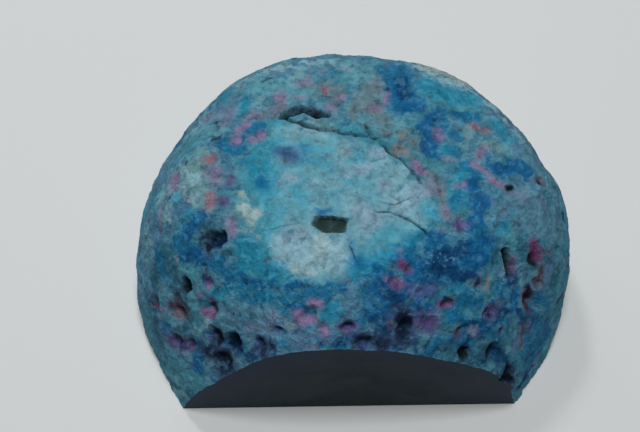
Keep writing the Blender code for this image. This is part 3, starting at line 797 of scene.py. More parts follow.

# Each wash lies over the ones before it. The glint pigment shows only as fine pale flecks, painted glints off
# crystal grains, over them all.
WASHES = {
    Pigment.TEAL: (
        Stain(3.5, 0.9, (117, 50)), Stain(2.4, 0.8, (153, 42), (148, 45)),
        Stain(2.1, 0.8, (161, 40), (158, 45)), Stain(2.1, 0.8, (200, 21), (202, 3)),
        Stain(1.7, 0.8, (208, 34), (215, 26)), Stain(2.4, 0.9, (213, 5), (226, 13)),
        Stain(2.1, 0.8, (72, 69), (49, 69), (15, 62)), Stain(2.1, 0.8, (51, 48), (37, 43)),
        Stain(1.6, 0.8, (305, 41), (316, 39)), Stain(1.7, 0.8, (314, 34), (313, 30)),
        Stain(2.1, 0.8, (343, 31), (339, 24)), Stain(2.0, 0.8, (341, 42), (343, 45)),
        Stain(1.7, 0.7, (313, 32), (315, 26)),
    ),
    Pigment.STEEL: (
        Stain(2.2, 0.9, (121, 45), (109, 45), (94, 46)), Stain(2.4, 0.9, (180, 29), (190, 25)),
        Stain(2.0, 0.8, (179, 38), (177, 42)), Stain(2.1, 0.8, (32, 39), (11, 37), (359, 30)),
        Stain(3.1, 0.9, (356, 41), (352, 32), (352, 43)), Stain(1.7, 0.8, (341, 61), (333, 59)),
        Stain(2.1, 0.8, (346, 35), (345, 27)), Stain(1.7, 0.8, (1, 48), (359, 44)),
        Stain(1.5, 0.7, (286, 40), (297, 35)), Stain(1.4, 0.7, (223, 26), (215, 24)),
    ),
    Pigment.GREY: (
        Stain(2.8, 1.0, (81, 51), (83, 61), (66, 64)), Stain(2.1, 0.9, (109, 52), (95, 54)),
        Stain(1.8, 0.8, (134, 54), (120, 53)), Stain(1.4, 0.8, (130, 41)),
        Stain(1.7, 0.8, (10, 65), (355, 63), (343, 61)), Stain(1.7, 0.8, (341, 33), (337, 27)),
        Stain(1.4, 0.7, (133, 66), (118, 71)), Stain(1.7, 0.8, (46, 64), (33, 63)),
        Stain(1.9, 0.75, (173, 45), (170, 46)),
    ),
    Pigment.SEA: (
        Stain(2.4, 0.9, (342, 38), (343, 28), (338, 26)), Stain(2.3, 0.9, (320, 28), (310, 28)),
        Stain(2.1, 0.8, (198, 17), (207, 10)), Stain(2.1, 0.9, (193, 32), (195, 24)),
        Stain(1.7, 0.8, (208, 30), (212, 21)), Stain(2.3, 0.9, (301, 34), (313, 33)),
        Stain(1.8, 0.8, (215, 0), (223, 6)), Stain(1.3, 0.8, (333, 44), (339, 47)),
        Stain(1.3, 0.7, (209, 49), (210, 53)), Stain(1.7, 1.0, (331, 27), (326, 24)),
        Stain(1.4, 0.9, (335, 19), (331, 16)), Stain(1.3, 0.9, (315, 31), (316, 26)),
        Stain(1.5, 0.9, (197, 32), (204, 29)), Stain(1.2, 0.9, (194, 47), (196, 50)),
        Stain(1.2, 0.8, (303, 32), (306, 28)),
    ),
    Pigment.SAGE: (
        Stain(1.7, 1.0, (169, 45), (179, 47)), Stain(1.5, 0.9, (162, 47), (184, 49)),
        Stain(1.3, 0.9, (185, 58), (195, 57)), Stain(1.7, 0.8, (19, 45), (23, 48)),
        Stain(1.4, 0.8, (30, 51), (27, 54)), Stain(1.9, 0.8, (241, 59), (254, 59)),
        Stain(1.4, 0.7, (119, 63), (101, 68)), Stain(1.2, 0.7, (224, 32), (226, 32)),
        Stain(1.3, 0.7, (264, 71), (269, 65)),
    ),
    Pigment.PALE: (
        Patch(SLAB, 0.75), Stain(2.1, 0.9, (131, 61), (111, 69)), Stain(2.0, 0.9, (171, 69), (177, 73)),
        Stain(2.7, 0.9, (107, 81), (47, 77)), Stain(2.3, 0.9, (227, 78), (211, 71)),
        Stain(3.6, 1.0, (232, 63), (251, 66)), Stain(2.7, 0.9, (16, 78), (352, 72)),
        Stain(2.0, 0.9, (301, 75), (302, 68)), Stain(1.7, 0.8, (258, 60), (262, 64)),
        Stain(1.4, 0.8, (134, 49), (129, 49)), Stain(1.4, 0.8, (109, 45), (115, 49)),
        Stain(1.2, 0.5, (18, 56), (14, 54)), Stain(1.2, 0.7, (216, 26), (219, 32)),
        Stain(1.3, 0.7, (261, 57), (259, 54)), Stain(1.6, 0.8, (129, 40), (123, 42)),
        Stain(1.4, 0.8, (94, 44), (89, 45)), Stain(1.1, 0.6, (31, 40), (23, 39), (16, 38)),
        Stain(1.5, 0.8, (178, 35), (175, 38)), Stain(1.3, 0.8, (181, 46), (184, 48)),
        Stain(1.4, 0.7, (158, 31), (158, 36)), Stain(1.4, 0.7, (155, 39), (151, 41)),
        Stain(1.5, 0.8, (203, 55), (208, 59)), Stain(1.3, 0.7, (237, 56), (243, 57)),
        Stain(1.2, 0.7, (182, 30), (186, 28)), Stain(1.1, 0.7, (217, 0), (221, 4)),
        Stain(2.4, 0.75, (179, 41), (174, 43)), Stain(1.7, 0.7, (185, 37), (184, 40)),
    ),
    Pigment.POOL: (
        Stain(2.8, 0.9, (125, 45), (114, 53)), Stain(2.2, 0.9, (92, 46), (85, 50)),
        Stain(2.5, 0.8, (62, 42), (44, 43)), Stain(2.1, 0.8, (149, 36), (144, 41)),
        Stain(1.7, 0.8, (169, 38), (175, 35)), Stain(1.7, 0.8, (23, 43), (12, 42)),
        Stain(1.5, 0.8, (143, 58), (140, 63)), Stain(1.6, 0.7, (92, 67), (81, 63)),
        Stain(1.4, 0.7, (60, 59), (61, 64)), Stain(1.6, 0.9, (84, 46), (87, 48)),
        Stain(1.7, 0.8, (154, 45), (152, 50)), Stain(1.4, 0.8, (148, 41), (145, 42)),
        Stain(1.5, 0.9, (167, 57), (177, 58)), Stain(1.6, 0.7, (137, 47), (132, 49)),
        Stain(1.4, 0.7, (134, 55), (131, 52)), Stain(1.4, 0.7, (120, 53), (114, 52)),
        Stain(1.8, 0.9, (168, 73), (213, 71)), Stain(1.7, 0.9, (64, 79), (317, 83)),
        Stain(1.5, 0.8, (188, 68), (197, 69)), Stain(1.5, 0.8, (131, 69), (117, 73)),
        Stain(1.5, 0.7, (238, 78), (259, 77)), Stain(1.3, 0.7, (225, 57), (219, 56)),
        Stain(1.6, 1.0, (249, 58), (256, 58)), Stain(1.4, 0.7, (212, 2), (219, 5)),
        Stain(1.0, 0.6, (185, 41)),
    ),
    Pigment.AQUA: (
        Stain(3.7, 1.0, (154, 60), (178, 62), (206, 61)), Stain(2.3, 0.9, (211, 55), (219, 56)),
        Stain(2.7, 0.8, (140, 68), (136, 77)), Stain(2.3, 0.55, (195, 72), (204, 83)),
        Stain(2.6, 0.8, (307, 70), (277, 68)), Stain(2.0, 0.8, (344, 67), (337, 65)),
        Stain(1.7, 0.7, (141, 56), (126, 58)), Stain(2.0, 0.8, (81, 75), (113, 87)),
        Stain(2.4, 0.7, (96, 67), (65, 69)), Stain(1.5, 0.9, (235, 55), (229, 53)),
        Stain(1.4, 0.7, (137, 69), (153, 72)), Stain(1.0, 0.55, (62, 80)), Stain(1.0, 0.5, (265, 74)),
        Stain(1.0, 0.55, (212, 72)), Stain(1.9, 0.75, (174, 71), (193, 72)),
    ),
    Pigment.CYAN: (
        Stain(1.5, 0.8, (231, 57), (236, 56), (243, 57)), Stain(1.3, 0.8, (180, 42), (187, 43)),
        Stain(1.0, 0.5, (228, 37), (230, 41)),
    ),
    Pigment.HAZE: (
        Stain(2.0, 0.6, (230, 38), (243, 44)), Stain(1.9, 0.9, (249, 43), (260, 45)),
        Stain(1.6, 0.8, (264, 57), (269, 53)), Stain(1.5, 0.8, (295, 54), (304, 51)),
        Stain(1.4, 0.8, (143, 42), (144, 47)), Stain(1.4, 0.8, (148, 67), (137, 69)),
        Stain(1.4, 0.8, (181, 33), (188, 32)), Stain(1.3, 0.8, (184, 45), (185, 41)),
        Stain(1.3, 0.8, (277, 41), (267, 44)), Stain(1.3, 0.8, (355, 51), (358, 49)),
        Stain(1.4, 0.65, (229, 37), (235, 42), (245, 44)), Stain(1.2, 0.7, (19, 42), (14, 42)),
        Stain(1.8, 0.9, (330, 9), (324, 3)), Stain(1.4, 0.8, (336, 24), (342, 29)),
        Stain(1.4, 0.7, (325, 24), (319, 21)), Stain(1.9, 0.8, (233, 46), (240, 45)),
        Stain(1.3, 0.75, (249, 53), (253, 54)),
    ),
    Pigment.LILAC: (
        Stain(1.5, 1.0, (283, 81), (293, 77)), Stain(1.3, 0.9, (8, 80)),
        Stain(1.7, 0.9, (342, 73), (359, 69)), Stain(1.5, 0.9, (95, 84), (63, 81)),
        Stain(1.6, 1.0, (221, 63), (225, 67)), Stain(1.6, 0.8, (239, 61), (254, 67)),
        Stain(1.2, 0.8, (170, 70)), Stain(1.2, 0.7, (70, 74), (54, 72)), Stain(1.3, 0.8, (280, 74)),
        Stain(1.4, 0.7, (95, 47)), Stain(1.2, 0.7, (32, 41)), Stain(1.2, 0.6, (18, 38)),
        Stain(1.4, 0.8, (244, 44)), Stain(1.1, 0.5, (236, 46)), Stain(1.4, 0.75, (232, 46), (238, 46)),
        Stain(1.0, 0.5, (225, 57)), Stain(1.1, 0.6, (95, 45), (90, 47)),
    ),
    Pigment.CHALK: (
        Stain(1.3, 0.7, (235, 58), (244, 59)), Stain(1.6, 0.9, (119, 41), (112, 43)),
        Stain(1.3, 0.7, (108, 43), (100, 44)), Stain(1.4, 0.9, (61, 43), (54, 41), (44, 40), (36, 39)),
        Stain(2.3, 0.8, (232, 63), (255, 66)), Stain(1.3, 0.6, (357, 77), (347, 71)),
        Stain(1.7, 0.9, (176, 47)), Stain(1.3, 0.8, (183, 47)), Stain(1.4, 0.7, (176, 35)),
        # The first stain on the next line is painted sheen on the back rim, where grazing light catches it.
        Stain(1.6, 0.7, (55, 37), (62, 37)), Stain(1.0, 0.5, (204, 55), (207, 59)),
        Stain(1.0, 0.45, (225, 57)), Stain(1.0, 0.7, (242, 57)), Stain(1.3, 0.9, (220, 62), (228, 59)),
    ),
    Pigment.CREAM: (
        Stain(1.5, 0.75, (196, 59), (202, 59)), Stain(1.0, 0.9, (208, 56)),
        Stain(1.6, 0.6, (240, 69), (248, 63)), Stain(1.2, 0.5, (338, 75)),
        # The first stain on the next line is painted sheen on the back rim, where grazing light catches it.
        Stain(1.8, 1.0, (51, 36), (58, 38), (64, 39)), Stain(1.2, 0.6, (236, 58), (244, 59)),
        Stain(1.0, 0.85, (192, 58), (198, 59), (198, 61)), Stain(0.8, 0.8, (206, 57), (211, 58)),
        Stain(0.8, 0.7, (183, 58), (187, 59)),
    ),
    Pigment.AZURE: (
        Stain(2.4, 0.75, (165, 59), (178, 63)), Stain(1.5, 0.9, (150, 63), (148, 70)),
        Stain(1.6, 0.9, (136, 39)), Stain(1.4, 0.8, (134, 47), (140, 49)),
        Stain(1.5, 0.6, (188, 45), (192, 40)), Stain(1.9, 1.0, (209, 55), (220, 53), (228, 54)),
        Stain(1.7, 0.5, (236, 49), (241, 51)), Stain(1.6, 0.9, (256, 52), (260, 50)),
        Stain(1.6, 0.9, (269, 62), (285, 64), (305, 65)), Stain(1.3, 0.8, (308, 66), (319, 65)),
        Stain(1.6, 0.8, (311, 48), (316, 47)), Stain(1.6, 0.8, (302, 42), (316, 42)),
        Stain(2.4, 0.9, (60, 46), (52, 46), (44, 43)), Stain(1.5, 0.9, (27, 58), (24, 56)),
        Stain(1.6, 0.8, (28, 43), (23, 43)), Stain(1.7, 0.9, (11, 57), (349, 59)),
        Stain(1.8, 0.6, (351, 46), (344, 47)), Stain(1.0, 0.6, (220, 76)), Stain(1.0, 0.8, (283, 40)),
        Stain(1.3, 0.8, (232, 31), (233, 33)), Stain(1.3, 0.8, (212, 34), (217, 42)),
        Stain(1.7, 0.6, (224, 45), (231, 47), (240, 48)), Stain(1.3, 0.8, (257, 50), (260, 53)),
        Stain(1.0, 0.55, (339, 65)), Stain(1.4, 0.8, (219, 48)), Stain(1.4, 0.7, (331, 16), (328, 10)),
        Stain(1.2, 0.75, (137, 69)), Stain(2.9, 0.75, (224, 48), (232, 49)),
        Stain(2.0, 0.75, (215, 51), (221, 52)),
    ),
    Pigment.DEEP: (
        Stain(1.3, 0.9, (176, 63)), Stain(1.4, 1.0, (157, 51), (158, 55)),
        Stain(1.6, 0.9, (149, 54), (143, 55)), Stain(0.9, 0.6, (163, 53), (166, 54)),
        Stain(1.7, 0.9, (77, 45), (74, 44)), Stain(2.6, 1.0, (71, 45), (63, 55)),
        Stain(1.1, 0.9, (47, 51), (35, 46)), Stain(1.7, 0.9, (194, 38), (205, 46)),
        Stain(1.7, 0.6, (211, 47), (220, 47), (229, 49)), Stain(1.4, 1.0, (208, 46), (216, 46)),
        Stain(1.8, 0.7, (226, 46), (234, 49), (244, 52)), Stain(1.4, 0.9, (247, 54), (260, 57)),
        Stain(2.6, 0.9, (340, 52), (328, 49)), Stain(2.0, 0.9, (327, 37), (321, 31)),
        Stain(2.4, 0.9, (329, 23), (330, 9), (323, 10)), Stain(1.7, 0.8, (197, 28), (192, 30)),
        Stain(1.7, 0.8, (207, 15)), Stain(1.5, 0.9, (222, 16), (219, 18)),
        Stain(1.6, 0.8, (271, 48), (264, 42)), Stain(1.7, 0.8, (308, 31), (305, 36)),
        Stain(1.3, 0.8, (288, 34), (299, 38)), Stain(1.7, 0.9, (315, 44), (317, 40)),
        Stain(1.5, 0.9, (310, 35), (316, 34)), Stain(1.4, 0.8, (335, 27), (336, 21)),
        Stain(1.5, 0.8, (319, 62), (319, 58)), Stain(1.1, 0.7, (241, 38), (248, 40), (257, 42)),
        Stain(1.2, 0.7, (354, 59), (354, 56)), Stain(1.0, 0.55, (303, 66)),
        Stain(1.3, 0.8, (14, 55), (10, 53), (4, 55)), Stain(1.4, 0.8, (36, 55), (30, 53)),
        Stain(1.0, 0.6, (209, 40)), Stain(1.8, 0.9, (326, 18), (322, 10), (322, 4)),
        Stain(1.5, 0.9, (302, 56), (304, 60), (307, 63)), Stain(0.7, 0.6, (264, 71), (267, 67)),
        Stain(1.0, 0.8, (268, 66), (271, 63)), Stain(0.7, 0.75, (218, 75), (227, 78)),
        Stain(2.0, 0.75, (296, 49), (303, 50)), Stain(2.0, 0.75, (309, 44), (314, 44)),
        Stain(2.0, 0.75, (316, 34), (319, 29)), Stain(2.0, 0.8, (301, 52), (306, 47)),
        Stain(1.6, 0.75, (308, 42), (311, 38)),
    ),
    Pigment.COBALT: (
        Stain(1.5, 0.9, (325, 60), (322, 55)), Stain(1.4, 0.8, (220, 16), (221, 22)),
        Stain(1.2, 0.8, (70, 49), (65, 53)), Stain(1.4, 0.9, (54, 54), (59, 55)),
        Stain(1.7, 1.0, (47, 55), (43, 58), (30, 62)), Stain(1.7, 1.0, (11, 48), (10, 42)),
        Stain(1.3, 0.9, (3, 55), (353, 53)), Stain(1.2, 1.0, (191, 48), (193, 42)),
        Stain(1.3, 1.0, (198, 38), (202, 43)), Stain(1.2, 0.7, (222, 49), (238, 53), (245, 56)),
        Stain(3.3, 1.0, (284, 56), (308, 55), (325, 51)), Stain(1.9, 0.9, (295, 49), (275, 51)),
        Stain(1.5, 0.9, (347, 53), (340, 55)), Stain(1.8, 0.9, (335, 14), (333, 10)),
        Stain(1.3, 0.8, (331, 34), (325, 31)), Stain(1.3, 0.8, (338, 48), (336, 51)),
        Stain(1.1, 0.8, (316, 56), (317, 50)), Stain(1.1, 0.8, (282, 57), (289, 52)),
        Stain(1.5, 0.8, (297, 62), (301, 54)), Stain(1.1, 0.7, (301, 46), (298, 50)),
        Stain(1.0, 0.7, (26, 57)), Stain(1.9, 0.7, (245, 49), (250, 49)),
    ),
    Pigment.NAVY: (
        Stain(1.3, 1.0, (287, 53), (284, 56)), Stain(1.3, 0.9, (328, 54), (316, 56)),
        Stain(1.3, 0.9, (310, 56), (320, 48)), Stain(0.8, 0.6, (237, 53), (231, 51)),
        Stain(0.8, 0.9, (199, 39)), Stain(1.1, 0.9, (69, 47), (64, 52)),
        Stain(1.6, 1.0, (289, 47), (289, 41), (274, 43)), Stain(1.7, 1.0, (222, 29), (231, 32)),
        Stain(1.7, 1.0, (229, 24), (222, 23)), Stain(1.2, 0.9, (213, 16), (216, 20)),
        Stain(1.5, 0.9, (314, 25), (316, 18), (314, 12)), Stain(1.0, 0.9, (237, 36), (237, 38)),
        Stain(1.1, 0.9, (262, 42), (265, 46)), Stain(1.0, 0.9, (333, 31), (331, 26)),
        Stain(1.0, 0.8, (306, 31), (309, 34)), Stain(1.5, 1.0, (278, 48), (283, 44)),
        Stain(1.5, 0.9, (235, 32), (242, 36)), Stain(1.5, 0.9, (271, 44), (282, 42)),
        Stain(1.2, 0.8, (223, 25), (228, 28)), Stain(1.2, 0.8, (327, 28), (328, 23)),
        Stain(1.4, 0.8, (312, 35), (319, 33)), Stain(1.4, 0.7, (217, 22), (222, 25)),
        Stain(1.2, 0.75, (201, 46), (198, 45)), Stain(1.0, 0.7, (309, 26)),
        Stain(1.4, 0.65, (312, 19), (324, 3)), Stain(1.2, 0.85, (336, 40), (332, 37)),
        Stain(0.9, 0.6, (120, 61)), Stain(1.0, 0.7, (295, 48)), Stain(1.1, 0.9, (209, 40)),
        Stain(0.8, 0.7, (257, 42)), Stain(1.5, 0.7, (321, 36), (324, 32)),
    ),
    Pigment.GLINT: (
        Stain(1.1, 1.0, (229, 50), (233, 48)), Stain(0.8, 0.9, (214, 44), (222, 44)),
        Stain(1.3, 1.0, (320, 55), (312, 58)), Stain(0.7, 0.9, (289, 46)), Stain(0.9, 0.8, (22, 51)),
        Stain(0.7, 0.8, (10, 47)), Stain(0.9, 0.8, (354, 52)), Stain(0.7, 0.7, (64, 49)),
        Stain(0.8, 0.7, (5, 43)), Stain(0.8, 0.7, (240, 54)), Stain(1.0, 0.7, (280, 54)),
    ),
}

# Where spots meet, the stronger one shows.
SPOTS = {
    Pigment.MAUVE: (
        Stain(1.1, 0.8, (108, 50), (111, 50)), Stain(1.2, 0.9, (101, 59)),
        Stain(0.5, 0.9, (117, 54), (113, 54)), Stain(0.9, 0.8, (141, 51), (137, 52)),
        Stain(0.7, 0.8, (148, 38), (146, 43)), Stain(1.4, 0.7, (143, 46)),
        Stain(1.3, 0.9, (171, 51), (176, 52)), Stain(0.8, 0.7, (177, 43)), Stain(0.7, 0.6, (162, 35)),
        Stain(0.7, 0.7, (181, 35), (185, 35)), Stain(0.7, 0.6, (35, 42), (33, 40)),
        Stain(0.8, 0.8, (346, 62), (341, 61)), Stain(0.7, 0.6, (331, 61)), Stain(0.7, 0.7, (351, 47)),
        Stain(0.5, 0.6, (301, 65)), Stain(0.8, 0.7, (324, 35)), Stain(0.8, 0.8, (311, 34)),
        Stain(1.4, 0.7, (142, 46), (147, 47)), Stain(1.2, 0.6, (149, 42), (147, 44)),
        Stain(1.4, 0.7, (131, 54), (126, 54)), Stain(1.3, 0.6, (3, 66), (358, 64)),
        Stain(1.4, 0.45, (1, 47), (359, 44)), Stain(1.4, 0.45, (359, 39), (356, 37)),
        Stain(1.3, 0.45, (232, 39), (239, 42)), Stain(1.1, 0.5, (249, 41), (255, 41)),
        Stain(1.2, 0.45, (79, 51), (74, 53)),
    ),
    Pigment.PINK: (
        Stain(1.2, 1.0, (123, 52)), Stain(0.5, 0.8, (102, 48)), Stain(0.7, 1.0, (95, 56)),
        Stain(0.9, 1.0, (149, 56), (145, 57)), Stain(0.7, 0.9, (144, 52)),
        Stain(0.7, 0.9, (150, 52), (148, 52)), Stain(0.9, 0.9, (154, 53)),
        Stain(1.2, 1.0, (172, 40), (175, 42)), Stain(0.5, 0.5, (187, 35)),
        Stain(1.1, 0.8, (198, 54), (202, 54)), Stain(0.7, 0.7, (81, 59), (74, 58)),
        Stain(0.5, 0.8, (72, 56), (72, 52)), Stain(0.7, 1.0, (26, 68), (14, 67)),
        Stain(1.0, 0.9, (38, 57), (35, 57)), Stain(0.8, 0.8, (21, 49), (18, 51)),
        Stain(0.5, 0.7, (21, 60), (20, 58)), Stain(0.7, 0.8, (14, 53), (9, 51)),
        Stain(0.9, 0.95, (5, 50), (3, 48)), Stain(0.7, 0.6, (2, 59), (3, 57)), Stain(0.8, 0.7, (342, 57)),
        Stain(0.8, 0.9, (246, 48), (248, 47)), Stain(0.6, 1.0, (249, 47), (253, 48)),
        Stain(0.8, 0.8, (250, 52), (253, 52)), Stain(0.8, 0.8, (256, 46), (258, 45)),
        Stain(0.5, 0.8, (210, 34), (211, 35)),
    ),
    Pigment.ROSE: (
        Stain(1.0, 1.0, (291, 57)), Stain(0.6, 0.6, (286, 59)), Stain(0.8, 0.9, (305, 46), (309, 45)),
        Stain(0.5, 0.8, (338, 40), (335, 38)), Stain(0.5, 0.9, (346, 32)), Stain(0.6, 0.9, (265, 46)),
        Stain(0.7, 0.8, (211, 39)), Stain(1.0, 1.0, (217, 33)), Stain(0.8, 1.0, (215, 32), (218, 33)),
        Stain(0.9, 1.0, (200, 17), (202, 19)), Stain(0.6, 0.8, (246, 47), (248, 46)),
    ),
    Pigment.SALMON: (
        Stain(0.7, 1.0, (102, 53)), Stain(0.9, 1.0, (166, 49), (165, 50)),
        Stain(1.2, 0.9, (184, 51), (187, 51)), Stain(0.5, 0.5, (196, 35), (197, 35)),
        Stain(0.7, 0.8, (33, 48), (28, 46)), Stain(1.4, 0.9, (207, 24)),
    ),
    Pigment.VIOLET: (Stain(0.9, 1.0, (297, 53), (305, 51)),),
    Pigment.PLUM: (
        Stain(1.0, 0.8, (174, 55), (178, 55)), Stain(1.0, 0.9, (187, 54)), Stain(1.3, 1.0, (339, 57)),
        Stain(0.8, 0.9, (322, 44)), Stain(0.5, 0.7, (330, 25)), Stain(1.2, 0.9, (319, 35)),
        Stain(1.5, 1.0, (296, 44), (299, 43)), Stain(0.6, 0.6, (273, 45)),
        Stain(1.0, 0.9, (264, 47), (268, 47)), Stain(0.8, 0.9, (210, 40)), Stain(1.0, 1.0, (215, 36)),
        Stain(1.0, 1.0, (201, 18)), Stain(0.7, 0.5, (205, 15), (207, 13)), Stain(1.4, 0.9, (210, 14)),
        Stain(1.4, 1.0, (215, 18)),
    ),
    Pigment.CRIMSON: (Stain(1.0, 1.0, (345, 37), (343, 34)), Stain(0.8, 0.9, (297, 61), (299, 59))),
    Pigment.MAROON: (
        Stain(0.5, 0.7, (164, 41)), Stain(0.7, 0.6, (182, 46)), Stain(1.0, 1.0, (6, 38)),
        Stain(0.5, 0.8, (300, 59)), Stain(0.9, 0.9, (340, 31), (337, 29)),
        Stain(1.0, 0.9, (333, 31), (331, 27)), Stain(1.2, 0.7, (326, 23), (323, 20)),
        Stain(1.0, 0.9, (306, 36)), Stain(0.8, 0.9, (319, 29)), Stain(0.8, 0.8, (283, 47)),
        Stain(1.2, 0.9, (205, 24), (207, 27)),
    ),
    Pigment.INDIGO: (
        Stain(1.4, 0.9, (150, 65), (148, 68)), Stain(0.5, 0.5, (141, 71)),
        Stain(1.3, 0.9, (271, 43), (276, 43)), Stain(0.9, 1.0, (199, 20)), Stain(1.1, 0.9, (237, 36)),
        Stain(0.8, 0.8, (241, 42)), Stain(1.1, 0.8, (265, 48), (268, 46)),
        Stain(1.3, 0.7, (236, 36), (238, 36)), Stain(1.2, 0.7, (220, 27), (223, 28)),
    ),
    Pigment.MIDNIGHT: (
        Stain(1.0, 0.95, (199, 47), (203, 46)), Stain(0.6, 1.0, (2, 46), (1, 47)),
        Stain(1.6, 0.9, (289, 48), (287, 45)), Stain(0.6, 0.8, (268, 42), (271, 41)),
        Stain(1.5, 0.9, (222, 29), (223, 27)), Stain(2.0, 1.0, (228, 23), (230, 25)),
        Stain(1.5, 1.0, (287, 48), (287, 43)), Stain(1.3, 0.9, (270, 44), (279, 42)),
        Stain(1.5, 1.0, (223, 23), (230, 24)), Stain(1.0, 0.9, (239, 35), (241, 38)),
        Stain(1.2, 0.8, (205, 28), (209, 28)),
    ),
    Pigment.SAND: (
        Stain(0.7, 0.7, (103, 75), (95, 76)), Stain(0.5, 0.9, (52, 65), (52, 63)),
        Stain(0.7, 1.0, (48, 69), (37, 68)), Stain(0.5, 0.8, (33, 68)), Stain(0.4, 0.9, (326, 43), (323, 41)),
        Stain(0.9, 0.8, (209, 23)),
    ),
    Pigment.OLIVE: (Stain(1.0, 0.6, (312, 26)),),
}

# Painted shade, deepened in the pits and round the holes.
DEEPER_PAINTED_SHADE = (
    # Left shoulder and back.
    Stain(0.9, 0.6, (199, 47), (203, 46)), Stain(0.4, 0.9, (157, 48), (153, 49)),
    Stain(0.4, 0.7, (155, 47), (156, 50)), Stain(0.4, 0.8, (124, 45), (120, 45)),
    Stain(0.4, 0.6, (118, 40), (119, 43)), Stain(0.4, 0.8, (109, 39), (106, 40)),
    Stain(0.4, 0.8, (168, 44), (167, 44)), Stain(0.4, 0.7, (155, 34)), Stain(0.5, 0.7, (156, 67), (150, 66)),
    # Right shoulder.
    Stain(0.6, 0.9, (2, 46), (1, 47)), Stain(0.5, 1.0, (2, 47)), Stain(0.5, 0.9, (6, 38)),
    Stain(0.4, 0.7, (38, 41)), Stain(0.4, 0.8, (73, 51)),
    Stain(0.6, 0.5, (53, 62), (47, 60)), Stain(0.5, 0.5, (66, 63), (63, 64)),
    # The front, from left to right.
    Stain(1.0, 1.0, (204, 34), (205, 32)), Stain(0.5, 0.6, (205, 42), (206, 43)),
    Stain(1.2, 1.0, (228, 33), (229, 31)), Stain(0.4, 0.4, (231, 64), (230, 60)), Stain(0.3, 0.4, (229, 56)),
    Stain(0.3, 0.4, (219, 58)), Stain(0.5, 0.7, (263, 47), (265, 48)), Stain(0.7, 0.6, (237, 35), (235, 33)),
    Stain(0.5, 0.7, (293, 38), (295, 39)), Stain(0.4, 0.7, (297, 36), (298, 35)), Stain(0.4, 0.7, (292, 49)),
    Stain(0.8, 1.0, (305, 32), (304, 30)), Stain(1.0, 0.9, (313, 25), (311, 25)),
    Stain(0.4, 0.9, (308, 47), (310, 45)), Stain(0.4, 0.8, (323, 45)), Stain(0.5, 0.9, (319, 34)),
    # The right flank.
    Stain(0.8, 1.0, (338, 43), (334, 39)), Stain(0.7, 1.0, (342, 35), (341, 34)),
    Stain(0.7, 0.8, (334, 32), (333, 29)), Stain(0.5, 0.9, (0, 29), (358, 28)), Stain(0.7, 0.8, (344, 14)),
)


@dataclass(frozen=True)
class FarSide:
    """The flank behind and the lower sides, which follow a rule: seeded pits, pores and dye.

    Bearings, elevations, turns, climbs and the drop are degrees. Radii, depths and reaches are millimetres.
    """

    pit_seed: int = 7
    pit_count: int = 26
    pit_bearings: Span = (22.0, 158.0)
    pit_elevations: Span = (4.0, 40.0)
    pit_radii: Span = (0.8, 1.7)
    pit_stretch: Span = (0.8, 1.2)
    pit_depths: Span = (0.4, 0.9)
    pore_seed: int = 5
    pore_count: int = 150
    pore_bearings: Span = (0.0, 360.0)
    pore_elevations: Span = (-1.0, 52.0)
    pore_radii: Span = (0.3, 0.6)
    pore_stretch: Span = (0.8, 1.5)
    pore_depths: Span = (0.15, 0.4)
    # How dark the shade painted in each pore is.
    pore_painted_shades: Span = (0.3, 0.8)
    dye_seed: int = 11
    wash_count: int = 84
    wash_bearings: Span = (12.0, 172.0)
    wash_elevations: Span = (-1.0, 31.0)
    wash_turns: Span = (-7.0, 7.0)
    wash_climbs: Span = (-5.0, 5.0)
    wash_reaches: Span = (1.2, 3.6)
    strengths: Span = (0.6, 1.0)
    wash_pigments: tuple[Pigment, ...] = (
        Pigment.COBALT, Pigment.AZURE, Pigment.STEEL, Pigment.DEEP, Pigment.SAGE, Pigment.HAZE, Pigment.AQUA,
        Pigment.POOL, Pigment.LILAC,
    )
    spot_pigments: tuple[Pigment, ...] = (
        Pigment.PINK, Pigment.MAUVE, Pigment.PLUM, Pigment.MAROON, Pigment.SALMON, Pigment.PINK,
    )
    spot_drop: float = 1.0
    spot_share: float = 0.8

    def pits(self) -> list[Pit]:
        """Scatters the pits, the same ones as on the solid.

        Returns:
            The pits.
        """
        draw = random.Random(self.pit_seed)
        pits = []
        for _ in range(self.pit_count):
            bearing = draw.uniform(*self.pit_bearings)
            elevation = draw.uniform(*self.pit_elevations)
            across = draw.uniform(*self.pit_radii)
            upward = across * draw.uniform(*self.pit_stretch)
            pits.append(Pit(bearing, elevation, across, upward, draw.uniform(*self.pit_depths)))
        return pits

    def pores(self) -> list[Pit]:
        """Scatters small pores over all the flanks.

        Returns:
            The pores, as small pits.
        """
        draw = random.Random(self.pore_seed)
        pores = []
        for _ in range(self.pore_count):
            bearing = draw.uniform(*self.pore_bearings)
            elevation = draw.uniform(*self.pore_elevations)
            across = draw.uniform(*self.pore_radii)
            upward = across * draw.uniform(*self.pore_stretch)
            depth = draw.uniform(*self.pore_depths)
            pores.append(Pit(bearing, elevation, across, upward, depth, draw.uniform(*self.pore_painted_shades)))
        return pores

    def washes(self) -> list[tuple[Pigment, Stain]]:
        """Scatters broad washes of dye.

        Returns:
            The washes, each with its pigment.
        """
        draw = random.Random(self.dye_seed)
        washes = []
        for _ in range(self.wash_count):
            bearing = draw.uniform(*self.wash_bearings)
            elevation = draw.uniform(*self.wash_elevations)
            end = (bearing + draw.uniform(*self.wash_turns), elevation + draw.uniform(*self.wash_climbs))
            pigment = draw.choice(self.wash_pigments)
            reach = draw.uniform(*self.wash_reaches)
            washes.append((pigment, Stain(reach, draw.uniform(*self.strengths), (bearing, elevation), end)))
        return washes

    def spots(self) -> list[tuple[Pigment, Stain]]:
        """Tints the floors of the pits.

        Returns:
            The spots, each with its pigment.
        """
        draw = random.Random(self.dye_seed)
        spots = []
        for pit in self.pits():
            pigment = draw.choice(self.spot_pigments)
            place = (pit.bearing, pit.elevation - self.spot_drop)
            reach = self.spot_share * max(pit.across, pit.upward)
            spots.append((pigment, Stain(reach, draw.uniform(*self.strengths), place)))
        return spots


